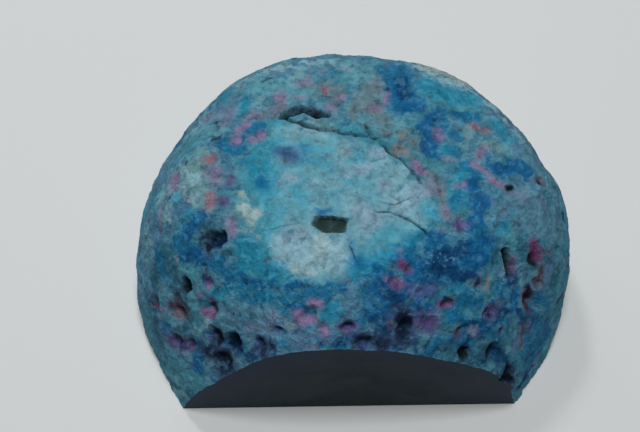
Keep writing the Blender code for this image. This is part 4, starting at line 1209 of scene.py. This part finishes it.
class Wire:
    """A shader socket that takes part in sums, so that shader maths reads as plain maths."""

    def __init__(self, board: "Board", socket: bpy.types.NodeSocket) -> None:
        """Keeps the socket and the board that it is on."""
        self.board = board
        self.socket = socket

    def __add__(self, other: "Wire | float") -> "Wire":
        """Adds."""
        return self.board.maths("ADD", self, other)

    __radd__ = __add__

    def __sub__(self, other: "Wire | float") -> "Wire":
        """Takes away."""
        return self.board.maths("SUBTRACT", self, other)

    def __rsub__(self, other: float) -> "Wire":
        """Takes this from a number."""
        return self.board.maths("SUBTRACT", other, self)

    def __mul__(self, other: "Wire | float") -> "Wire":
        """Multiplies."""
        return self.board.maths("MULTIPLY", self, other)

    __rmul__ = __mul__


class Mottling(NamedTuple):
    """The look of a noise, as its node takes it, with the spacing of its lumps in metres."""

    spacing: float
    detail: float
    roughness: float = 0.5
    distortion: float = 0.0


class Ramp(NamedTuple):
    """A smooth ramp of a value from low to high, and what it gives at its two ends."""

    low: float
    high: float
    bottom: float = 0.0
    top: float = 1.0


class Board:
    """A material's node board, which adds nodes as it is asked for their outputs."""

    MIDDLE = 0.5
    PUSH_DETAIL = 2.0

    def __init__(self, material: bpy.types.Material) -> None:
        """Turns on the material's nodes, and finds its shader.

        Args:
            material: the material to wire up.
        """
        material.use_nodes = True
        self.tree = material.node_tree
        self.shader = self.tree.nodes["Principled BSDF"]

    def node(self, kind: str, settings: dict[str, object], inputs: dict[str, object], output: str) -> Wire:
        """Adds a node.

        Args:
            kind: the node's type.
            settings: what is set on the node itself, before its sockets.
            inputs: values and wires, by a socket's identifier or name.
            output: the identifier or name of the socket wanted.

        Returns:
            The output's wire.
        """
        node = self.tree.nodes.new(kind)
        for name, value in settings.items():
            setattr(node, name, value)
        for name, value in inputs.items():
            self.feed(self.find(node.inputs, name), value)
        return Wire(self, self.find(node.outputs, output))

    @staticmethod
    def find(sockets: Iterable[bpy.types.NodeSocket], name: str) -> bpy.types.NodeSocket:
        """Finds a socket by its identifier, or else by its name."""
        found = [socket for socket in sockets if socket.identifier == name]
        return (found or [socket for socket in sockets if socket.name == name])[0]

    def feed(self, socket: bpy.types.NodeSocket, value: object) -> None:
        """Links a wire to a socket, or sets a value on it.

        Args:
            socket: the socket to feed.
            value: the wire, or the value.
        """
        if isinstance(value, Wire):
            self.tree.links.new(value.socket, socket)
        else:
            socket.default_value = value

    def finish(self, **inputs: object) -> None:
        """Feeds the shader's sockets, each named with underscores for the spaces in its name."""
        for name, value in inputs.items():
            self.feed(self.shader.inputs[name.replace("_", " ")], value)

    def maths(self, operation: str, first: Wire | float, second: Wire | float = 0.0) -> Wire:
        """Adds a Math node."""
        inputs = {"Value": first, "Value_001": second}
        return self.node("ShaderNodeMath", {"operation": operation}, inputs, "Value")

    def mixture(self, parts: Sequence[Wire], shares: Sequence[float]) -> Wire:
        """Adds parts together, each in its own share.

        Args:
            parts: what is added.
            shares: how much of each, in the same order.

        Returns:
            The sum.
        """
        total, *others = (part * share for part, share in zip(parts, shares))
        for other in others:
            total = total + other
        return total

    def object_place(self) -> Wire:
        """Gives the place on the object, on its own axes."""
        return self.node("ShaderNodeTexCoord", {}, {}, "Object")

    def noise(self, coordinates: Wire, look: Mottling, output: str = "Fac") -> Wire:
        """Adds noise.

        Args:
            coordinates: where it is sampled.
            look: its mottling.
            output: the socket wanted, Fac or Color.

        Returns:
            The noise, from nought to one.
        """
        inputs = {
            "Vector": coordinates,
            "Scale": 1.0 / look.spacing,
            "Detail": look.detail,
            "Roughness": look.roughness,
            "Distortion": look.distortion,
        }
        return self.node("ShaderNodeTexNoise", {}, inputs, output)

    def cells(self, coordinates: Wire, spacing: float) -> Wire:
        """Adds cells that each have a value of their own, from nought to one."""
        return self.node("ShaderNodeTexVoronoi", {}, {"Vector": coordinates, "Scale": 1.0 / spacing}, "Color")

    def rise(
        self, value: Wire, low: Wire | float, high: Wire | float, bottom: float = 0.0, top: float = 1.0
    ) -> Wire:
        """Ramps smoothly from bottom to top as a value goes from low to high."""
        inputs = {"Value": value, "From Min": low, "From Max": high, "To Min": bottom, "To Max": top}
        return self.node("ShaderNodeMapRange", {"interpolation_type": "SMOOTHSTEP"}, inputs, "Result")

    def attribute(self, name: str, output: str = "Fac") -> Wire:
        """Reads a mesh attribute."""
        return self.node("ShaderNodeAttribute", {"attribute_name": name}, {}, output)

    def blend(self, share: Wire | float, under: Wire | Colour, over: Wire | Colour, way: str = "MIX") -> Wire:
        """Blends two colours."""
        inputs = {"Factor_Float": share, "A_Color": under, "B_Color": over}
        return self.node("ShaderNodeMix", {"data_type": "RGBA", "blend_type": way}, inputs, "Result_Color")

    def vector(self, operation: str, first: Wire, second: Wire | tuple, output: str = "Vector") -> Wire:
        """Adds a Vector Math node of two vectors."""
        inputs = {"Vector": first, "Vector_001": second}
        return self.node("ShaderNodeVectorMath", {"operation": operation}, inputs, output)

    def warped(self, coordinates: Wire, spacing: float, amount: float) -> Wire:
        """Pushes coordinates about with noise, so that what is drawn on them wanders.

        Args:
            coordinates: the coordinates to push.
            spacing: how far apart the lumps of the noise are, in metres.
            amount: how far it pushes, in metres.

        Returns:
            The pushed coordinates.
        """
        push = self.noise(coordinates, Mottling(spacing, self.PUSH_DETAIL), "Color")
        centred = self.vector("SUBTRACT", push, (self.MIDDLE,) * 3)
        return self.vector("ADD", coordinates, self.vector("MULTIPLY", centred, (amount,) * 3))

    def bumps(self, height: Wire, distance: float, strength: float = 1.0) -> Wire:
        """Turns a height into a bumped normal."""
        inputs = {"Height": height, "Strength": strength, "Distance": distance}
        return self.node("ShaderNodeBump", {}, inputs, "Normal")


class Coat(NamedTuple):
    """A colour that comes in smoothly as a value goes from low to high, and how strongly it covers."""

    colour: Colour
    low: float
    high: float
    strength: float = 1.0

    def laid(self, board: Board, under: Wire | Colour, value: Wire, where: Wire | None = None) -> Wire:
        """Lays the coat over a colour.

        Args:
            board: the board to wire on.
            under: the colour beneath.
            value: what brings the coat in.
            where: how much of it each place takes, or nothing where all take it alike.

        Returns:
            The colour with the coat on it.
        """
        cover = board.rise(value, self.low, self.high)
        if where is not None:
            cover = cover * where
        if self.strength != 1.0:
            cover = cover * self.strength
        return board.blend(cover, under, self.colour)


@dataclass(frozen=True)
class RindFinish:
    """The rind's finish: mottled dye, laid on in washes and spots, on rough chalcedony, with painted shade in
    the hollows, painted light and shade on the crust, and painted glints.

    A push is how far apart the lumps are of the noise that moves a pattern about, and how far it moves it.
    """

    name: str = "dyed_rind"
    broad_push: Span = (3.0 * MM, 2.0 * MM)
    crust_push: Span = (1.4 * MM, 0.8 * MM)
    chip_push: Span = (0.9 * MM, 0.7 * MM)
    cloud: Mottling = Mottling(8.0 * MM, 4.0, 0.6)
    mottle: Mottling = Mottling(2.2 * MM, 4.0, 0.6, 0.6)
    crust: Mottling = Mottling(1.7 * MM, 6.0, 0.65, 0.25)
    grain: Mottling = Mottling(0.45 * MM, 4.0, 0.7)
    glint: Mottling = Mottling(0.75 * MM, 1.0, 0.4, 0.6)
    dab_spacing: float = 1.5 * MM
    chip_spacing: float = 0.8 * MM
    slab_polish: float = 0.65

    ground: Colour = Pigment.TEAL.rgba()
    ground_broad: Coat = Coat(Pigment.STEEL.rgba(), 0.38, 0.62)
    ground_bright: Coat = Coat(Pigment.AZURE.rgba(), 0.50, 0.66, 0.7)
    ground_dark: Coat = Coat(Pigment.DEEP.rgba(), 0.48, 0.34, 0.6)
    ground_pale: Coat = Coat(Pigment.PALE.rgba(), 0.54, 0.70, 0.35)

    rag_shares: tuple[float, ...] = (1.4, 0.4, 0.30)
    wash_opacity: float = 0.9
    wash_edge: float = 0.5
    edge_softness: float = 0.17
    slab_softness: float = 0.15
    halo: Coat = Coat(Pigment.MAUVE.rgba(), 0.02, 0.55, 0.18)
    halo_rag: float = 0.4
    spot_edge: Ramp = Ramp(0.18, 0.95)
    spot_rag: float = 0.55
    spot_opacity: float = 0.90

    flecks: Coat = Coat(Pigment.POOL.rgba(), 0.54, 0.68, 0.26)
    fleck_chip: float = 0.35
    pores: Coat = Coat(Pigment.MIDNIGHT.rgba(), 0.42, 0.30, 0.40)
    pore_grain: float = 0.3
    relief_light_shares: tuple[float, ...] = (0.55, 0.25, 0.12, 0.08)
    relief_light: Ramp = Ramp(0.34, 0.66)
    shaded: Colour = (0.58, 0.65, 0.70, 1.0)
    lit: Colour = (1.11, 1.20, 1.24, 1.0)
    painted_glint: Coat = Coat(Pigment.GLINT.rgba(), 0.585, 0.70, 0.60)
    painted_glint_edge: Ramp = Ramp(0.30, 0.65)
    painted_glint_rag: float = 0.5
    painted_shade_edge: Ramp = Ramp(0.25, 0.85)
    painted_shade_rag: float = 0.30
    painted_shade_tint: Colour = (0.10, 0.16, 0.18, 1.0)
    painted_shade_opacity: float = 0.95

    roughness: Ramp = Ramp(0.2, 0.8, 0.60, 0.85)
    painted_shade_roughness: float = 0.1
    specular: float = 0.10
    relief_shares: tuple[float, ...] = (0.35, 0.60, 0.15, 0.05)
    relief_middle: float = 0.58
    relief_height: float = 1.5 * MM

    def material(self) -> bpy.types.Material:
        """Makes the material.

        Returns:
            The finished material.
        """
        made = bpy.data.materials.new(self.name)
        board = Board(made)
        here = board.object_place()
        wandering = board.warped(here, *self.broad_push)
        flow = board.warped(here, *self.crust_push)
        cloud = board.noise(wandering, self.cloud)
        mottle = board.noise(wandering, self.mottle)
        crust = board.noise(flow, self.crust)
        grain = board.noise(here, self.grain)
        dab = board.cells(flow, self.dab_spacing)
        chip = board.cells(board.warped(here, *self.chip_push), self.chip_spacing)
        rough = 1.0 - board.attribute("calm") * self.slab_polish
        rag = board.mixture([part - board.MIDDLE for part in (mottle, crust, dab)], self.rag_shares)

        colour = self.ground_broad.laid(board, self.ground, cloud)
        colour = self.ground_bright.laid(board, colour, mottle)
        colour = self.ground_dark.laid(board, colour, mottle)
        colour = self.ground_pale.laid(board, colour, crust)
        colour = self.dyed(board, colour, rag)
        colour = self.flecks.laid(board, colour, crust + (chip - board.MIDDLE) * self.fleck_chip, rough)
        colour = self.pores.laid(board, colour, crust + (grain - board.MIDDLE) * self.pore_grain, rough)
        # Painted light and shade on the crust: the noises that bump the relief make its raised parts lighter
        # and its hollows darker.
        relief_light = board.rise(board.mixture((crust, grain, dab, chip), self.relief_light_shares), *self.relief_light)
        colour = board.blend(1.0, colour, board.blend(relief_light, self.shaded, self.lit), "MULTIPLY")
        # Painted glints: pale flecks where the glint pigment lies.
        glinting = board.rise(board.attribute(Pigment.GLINT.name) + rag * self.painted_glint_rag, *self.painted_glint_edge)
        colour = self.painted_glint.laid(board, colour, board.noise(flow, self.glint), glinting)
        # Painted shade from the mesh darkens and tints the pits, holes and cracks.
        painted_shade = board.rise(board.attribute("painted_shade") + rag * self.painted_shade_rag, *self.painted_shade_edge)
        dark = board.blend(1.0, colour, self.painted_shade_tint, "MULTIPLY")

        relief = board.mixture((mottle, crust, grain, chip), self.relief_shares) - self.relief_middle
        board.finish(
            Base_Color=board.blend(painted_shade * self.painted_shade_opacity, colour, dark),
            Roughness=board.rise(grain, *self.roughness) + painted_shade * self.painted_shade_roughness,
            Specular_IOR_Level=self.specular,
            Normal=board.bumps(relief * rough, self.relief_height),
        )
        return made

    def dyed(self, board: Board, under: Wire, rag: Wire) -> Wire:
        """Lays the washes over a colour, and then the spots, each in a faint halo.

        Args:
            board: the board to wire on.
            under: the colour beneath.
            rag: noise that makes the edges ragged.

        Returns:
            The colour with the dye on it.
        """
        softness = self.edge_softness + board.attribute("calm") * self.slab_softness
        colour = under
        for pigment in WASHES:
            if pigment is not Pigment.GLINT:
                mask = board.attribute(pigment.name) + rag
                cover = board.rise(mask, self.wash_edge - softness, self.wash_edge + softness)
                colour = board.blend(cover * self.wash_opacity, colour, pigment.rgba())
        reach = board.attribute("tint_reach")
        colour = self.halo.laid(board, colour, reach + rag * self.halo_rag)
        spot = board.rise(reach + rag * self.spot_rag, *self.spot_edge)
        return board.blend(spot * self.spot_opacity, colour, board.attribute("tint", "Color"))


@dataclass(frozen=True)
class SawnFinish:
    """The finish of the two sawn faces: smooth charcoal stone with faint bands and saw marks.

    The bands' wander is in radians, and those of the rim and the core are in millimetres.
    """

    name: str = "sawn_face"
    push: Span = (9.0 * MM, 3.0 * MM)
    cloud: Mottling = Mottling(9.0 * MM, 4.0)
    grain: Mottling = Mottling(0.4 * MM, 4.0, 0.7)
    BLUE = (0.036, 0.050, 0.090, 1.0)
    charcoal: Colour = (0.025, 0.044, 0.052, 1.0)
    deep: Coat = Coat((0.014, 0.027, 0.033, 1.0), 0.35, 0.65)
    band_spacing: float = 3.2 * MM
    band_turn: float = 6.283
    band_wander: float = 3.0
    bands: Coat = Coat(BLUE, 0.2, 0.9, 0.16)
    rim: Coat = Coat(BLUE, 32.0 * MM, 42.0 * MM, 0.75)
    rim_wander: float = 6.0
    core: Coat = Coat((0.026, 0.036, 0.032, 1.0), 34.0 * MM, 29.0 * MM, 0.5)
    core_wander: float = 8.0
    specks: Coat = Coat(Pigment.STEEL.rgba(), 0.62, 0.78, 0.25)
    roughness: Ramp = Ramp(0.2, 0.8, 0.34, 0.52)
    specular: float = 0.03
    mark_stretch: tuple[float, float, float] = (1.0, 1.0, 12.0)
    marks: Mottling = Mottling(4.0 * MM, 3.0)
    relief_shares: tuple[float, ...] = (0.3, 0.15)
    relief_height: float = 0.15 * MM
    relief_strength: float = 0.25

    def material(self) -> bpy.types.Material:
        """Makes the material.

        Returns:
            The finished material.
        """
        made = bpy.data.materials.new(self.name)
        board = Board(made)
        here = board.object_place()
        wandering = board.warped(here, *self.push)
        cloud = board.noise(wandering, self.cloud)
        grain = board.noise(here, self.grain)
        from_heart = board.vector("DISTANCE", wandering, tuple(HEART), "Value")
        ripple = from_heart * (self.band_turn / self.band_spacing) + cloud * self.band_wander
        colour = self.deep.laid(board, self.charcoal, cloud)
        colour = self.bands.laid(board, colour, board.maths("SINE", ripple))
        colour = self.rim.laid(board, colour, from_heart + cloud * self.rim_wander * MM)
        colour = self.core.laid(board, colour, from_heart + cloud * self.core_wander * MM)
        colour = self.specks.laid(board, colour, grain)
        marks = board.noise(board.vector("MULTIPLY", here, self.mark_stretch), self.marks)
        relief = board.mixture((marks, grain), self.relief_shares)
        board.finish(
            Base_Color=colour,
            Roughness=board.rise(grain, *self.roughness),
            Specular_IOR_Level=self.specular,
            Normal=board.bumps(relief, self.relief_height, self.relief_strength),
        )
        return made


@dataclass(frozen=True)
class Nodule:
    """The dyed stone itself: one closed mesh, made from a fine sphere.

    No face of the rind has more corners than most_corners, and the two that the saw leaves have many more.
    """

    name: str = "dyed_agate"
    sphere_level: int = 8
    fine_reach: float = 0.45 * MM
    fine_above: float = 10.0 * MM
    refinements: int = 2
    saw_tolerance: float = 2e-5
    most_corners: int = 4
    soft_angle: float = 50.0
    far_side: FarSide = FarSide()

    def build(self) -> bpy.types.Object:
        """Models and dresses the stone.

        Returns:
            The finished stone, riding on the CAD's body.
        """
        bpy.ops.object.select_all(action="DESELECT")
        bpy.ops.mesh.primitive_ico_sphere_add(subdivisions=self.sphere_level, radius=1.0)
        stone = bpy.context.active_object
        stone.name = stone.data.name = self.name
        for _ in range(self.refinements):
            self.refine(stone)
        rind = Rind(self.directions(stone))
        self.carve(rind)
        self.stain(rind)
        stone.data.vertices.foreach_set("co", rind.carved().astype(np.float32).ravel())
        self.write(stone.data, rind)
        stone.data.update()
        self.saw(stone, Vector((0.0, 0.0, 0.0)), Vector((0.0, 0.0, -1.0)))
        self.saw(stone, Vector((0.0, FRONT_CUT, 0.0)), Vector((0.0, -1.0, 0.0)))
        self.dress(stone)
        return stone

    @staticmethod
    def directions(stone: bpy.types.Object) -> np.ndarray:
        """Finds the way from the middle of the mesh to each of its corners.

        Args:
            stone: the stone, while it is still a sphere.

        Returns:
            Unit vectors, a row each.
        """
        corners = np.empty(len(stone.data.vertices) * 3, np.float32)
        stone.data.vertices.foreach_get("co", corners)
        ways = corners.reshape(-1, 3).astype(float)
        return ways / np.linalg.norm(ways, axis=1)[:, None]

    def refine(self, stone: bpy.types.Object) -> None:
        """Halves the edges along the cracks and round the gap, where the mesh has to be finer.

        Args:
            stone: the stone, while it is still a sphere.
        """
        ways = self.directions(stone)
        points = HEART + ways * FORM.radius(ways)[:, None]
        fine = np.zeros(len(points), bool)
        for crack in CRACKS:
            beside, _ = beside_route(points, crack.route)
            fine |= np.abs(beside) < self.fine_reach
        fine |= np.abs(inside_distance(points[:, :2], GAP.outline)) < self.fine_reach
        fine &= points[:, 2] > HEART[2] + self.fine_above
        edges = np.empty(len(stone.data.edges) * 2, np.int32)
        stone.data.edges.foreach_get("vertices", edges)
        stone.data.polygons.foreach_set("select", np.zeros(len(stone.data.polygons), bool))
        stone.data.vertices.foreach_set("select", np.zeros(len(points), bool))
        stone.data.edges.foreach_set("select", fine[edges.reshape(-1, 2)].all(axis=1))
        bpy.context.tool_settings.mesh_select_mode = (False, True, False)
        bpy.ops.object.mode_set(mode="EDIT")
        bpy.ops.mesh.subdivide(number_cuts=1)
        bpy.ops.mesh.select_all(action="SELECT")
        bpy.ops.mesh.quads_convert_to_tris()
        bpy.ops.object.mode_set(mode="OBJECT")

    def carve(self, rind: Rind) -> None:
        """Lays all the relief over the form.

        Args:
            rind: the rind to carve.
        """
        pits = (*PITS, *self.far_side.pits(), *self.far_side.pores())
        for feature in (*LUMPS, CRUST, SCAR, *SWELLS, *pits, *HOLES, GAP, *CRACKS):
            feature.carve(rind)

    def stain(self, rind: Rind) -> None:
        """Lays all the dye on the rind, and then the deeper painted shade.

        Args:
            rind: the rind to dye.
        """
        washes = [(pigment, stain) for pigment, stains in WASHES.items() for stain in stains]
        for pigment, stain in (*washes, *self.far_side.washes()):
            rind.wash(*stain.cover(rind), pigment)
        spots = [(pigment, stain) for pigment, stains in SPOTS.items() for stain in stains]
        for pigment, stain in (*spots, *self.far_side.spots()):
            rind.dye(*stain.cover(rind), pigment)
        for stain in DEEPER_PAINTED_SHADE:
            rind.darken(*stain.cover(rind))

    @staticmethod
    def write(mesh: bpy.types.Mesh, rind: Rind) -> None:
        """Stores the dye on the mesh, where the finish reads it.

        Args:
            Stores the dye and the painted shade on the mesh, where the finish reads it.
            rind: the rind with its dye.
        """
        values = {pigment.name: mask for pigment, mask in rind.masks.items()}
        values |= {"tint_reach": rind.tint_reach, "painted_shade": rind.painted_shade, "calm": rind.calm}
        for name, value in values.items():
            attribute = mesh.attributes.new(name, "FLOAT", "POINT")
            attribute.data.foreach_set("value", value.astype(np.float32))
        tint = mesh.attributes.new("tint", "FLOAT_COLOR", "POINT")
        colours = np.column_stack((rind.tint, np.ones(len(rind.tint))))
        tint.data.foreach_set("color", colours.astype(np.float32).ravel())

    def saw(self, stone: bpy.types.Object, place: Vector, outward: Vector) -> None:
        """Takes away what lies beyond a plane, and closes the cut with one flat face.

        Args:
            stone: the stone to saw.
            place: a point of the plane.
            outward: the way that the new face looks.
        """
        bpy.ops.object.mode_set(mode="EDIT")
        bpy.ops.mesh.select_all(action="SELECT")
        bpy.ops.mesh.bisect(
            plane_co=place, plane_no=outward, use_fill=True, clear_outer=True, threshold=self.saw_tolerance
        )
        bpy.ops.object.mode_set(mode="OBJECT")

    def dress(self, stone: bpy.types.Object) -> None:
        """Gives the rind and the sawn faces their finishes, and sharpens the edge between them.

        Args:
            stone: the sawn stone.
        """
        stone.data.materials.append(RindFinish().material())
        stone.data.materials.append(SawnFinish().material())
        for face in stone.data.polygons:
            face.material_index = int(len(face.vertices) > self.most_corners)
        bpy.ops.object.shade_smooth_by_angle(angle=radians(self.soft_angle))
        for face in stone.data.polygons:
            face.use_smooth = face.material_index == 0
        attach(stone, "root")
        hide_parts("agate")


@dataclass(frozen=True)
class Lamp:
    """A square soft lamp that faces the stone: its place, its side in metres and its power in watts."""

    name: str
    place: tuple[float, float, float]
    side: float
    power: float

    def hang(self) -> None:
        """Adds the lamp to the scene."""
        lamp = bpy.data.lights.new(self.name, "AREA")
        lamp.shape = "SQUARE"
        lamp.size = self.side
        lamp.energy = self.power
        hung = bpy.data.objects.new(self.name, lamp)
        bpy.context.scene.collection.objects.link(hung)
        hung.location = self.place
        hung.rotation_euler = (-Vector(self.place)).to_track_quat("-Z", "Y").to_euler()


@dataclass(frozen=True)
class Studio:
    """The plain pale floor, the soft light from above and behind, and the camera.

    The camera's angles are degrees, its distance metres, and its lens and sensor millimetres.
    """

    floor_side: float = 3.0
    floor_colour: Colour = (0.78, 0.80, 0.80, 1.0)
    floor_roughness: float = 0.9
    floor_specular: float = 0.2
    lamps: tuple[Lamp, ...] = (
        Lamp("window", (-0.157, 0.456, 0.640), 0.10, 1.05),
        Lamp("wall", (-0.40, 0.72, 0.34), 0.45, 0.75),
        Lamp("overhead", (0.0, -0.02, 0.95), 0.28, 5.10),
    )
    sky_colour: Colour = (0.93, 0.98, 1.0, 1.0)
    sky_strength: float = 0.055
    look_down: float = 60.0
    heading: float = -1.2
    roll: float = 0.3
    aim: tuple[float, float, float] = (-0.0055, 0.0071, 0.0)
    distance: float = 0.23756
    nearest: float = 0.01
    lens: float = 68.72
    sensor: float = 36.0

    def build_floor(self) -> bpy.types.Object:
        """Lays the floor under the stone.

        Returns:
            The floor.
        """
        bpy.ops.object.select_all(action="DESELECT")
        bpy.ops.mesh.primitive_plane_add(size=self.floor_side)
        floor = bpy.context.active_object
        floor.name = "floor"
        pale = bpy.data.materials.new("pale_floor")
        Board(pale).finish(
            Base_Color=self.floor_colour,
            Roughness=self.floor_roughness,
            Specular_IOR_Level=self.floor_specular,
        )
        floor.data.materials.append(pale)
        return floor

    def light(self) -> None:
        """Hangs the lamps and sets the sky."""
        for lamp in self.lamps:
            lamp.hang()
        sky = bpy.data.worlds.new("soft_sky")
        sky.use_nodes = True
        backdrop = sky.node_tree.nodes["Background"]
        backdrop.inputs["Color"].default_value = self.sky_colour
        backdrop.inputs["Strength"].default_value = self.sky_strength
        bpy.context.scene.world = sky
        bpy.context.scene.view_settings.view_transform = "Standard"

    def set_camera(self) -> None:
        """Stands the camera in front of the stone, looking steeply down at it."""
        turn, tilt = radians(self.heading), radians(self.look_down)
        level = Vector((-sin(turn), cos(turn), 0.0))
        forward = level * cos(tilt) - Vector((0.0, 0.0, sin(tilt)))
        right = Vector((cos(turn), sin(turn), 0.0))
        right = Matrix.Rotation(radians(-self.roll), 3, forward) @ right
        up = right.cross(forward)
        camera = bpy.data.objects.new("camera", bpy.data.cameras.new("camera"))
        camera.data.sensor_width = self.sensor
        camera.data.lens = self.lens
        camera.data.clip_start = self.nearest
        camera.matrix_world = Matrix((right, up, -forward)).transposed().to_4x4()
        camera.location = Vector(self.aim) - forward * self.distance
        bpy.context.scene.collection.objects.link(camera)
        bpy.context.scene.camera = camera


def main() -> None:
    """Builds the studio and the stone, and reports each."""
    logging.basicConfig(level=logging.INFO, format="%(name)s: %(message)s")
    studio = Studio()
    studio.set_camera()
    studio.light()
    log.info("laid %s", studio.build_floor().name)
    stone = Nodule().build()
    log.info("made %s with %d faces", stone.name, len(stone.data.polygons))


if __name__ == "__main__":
    main()
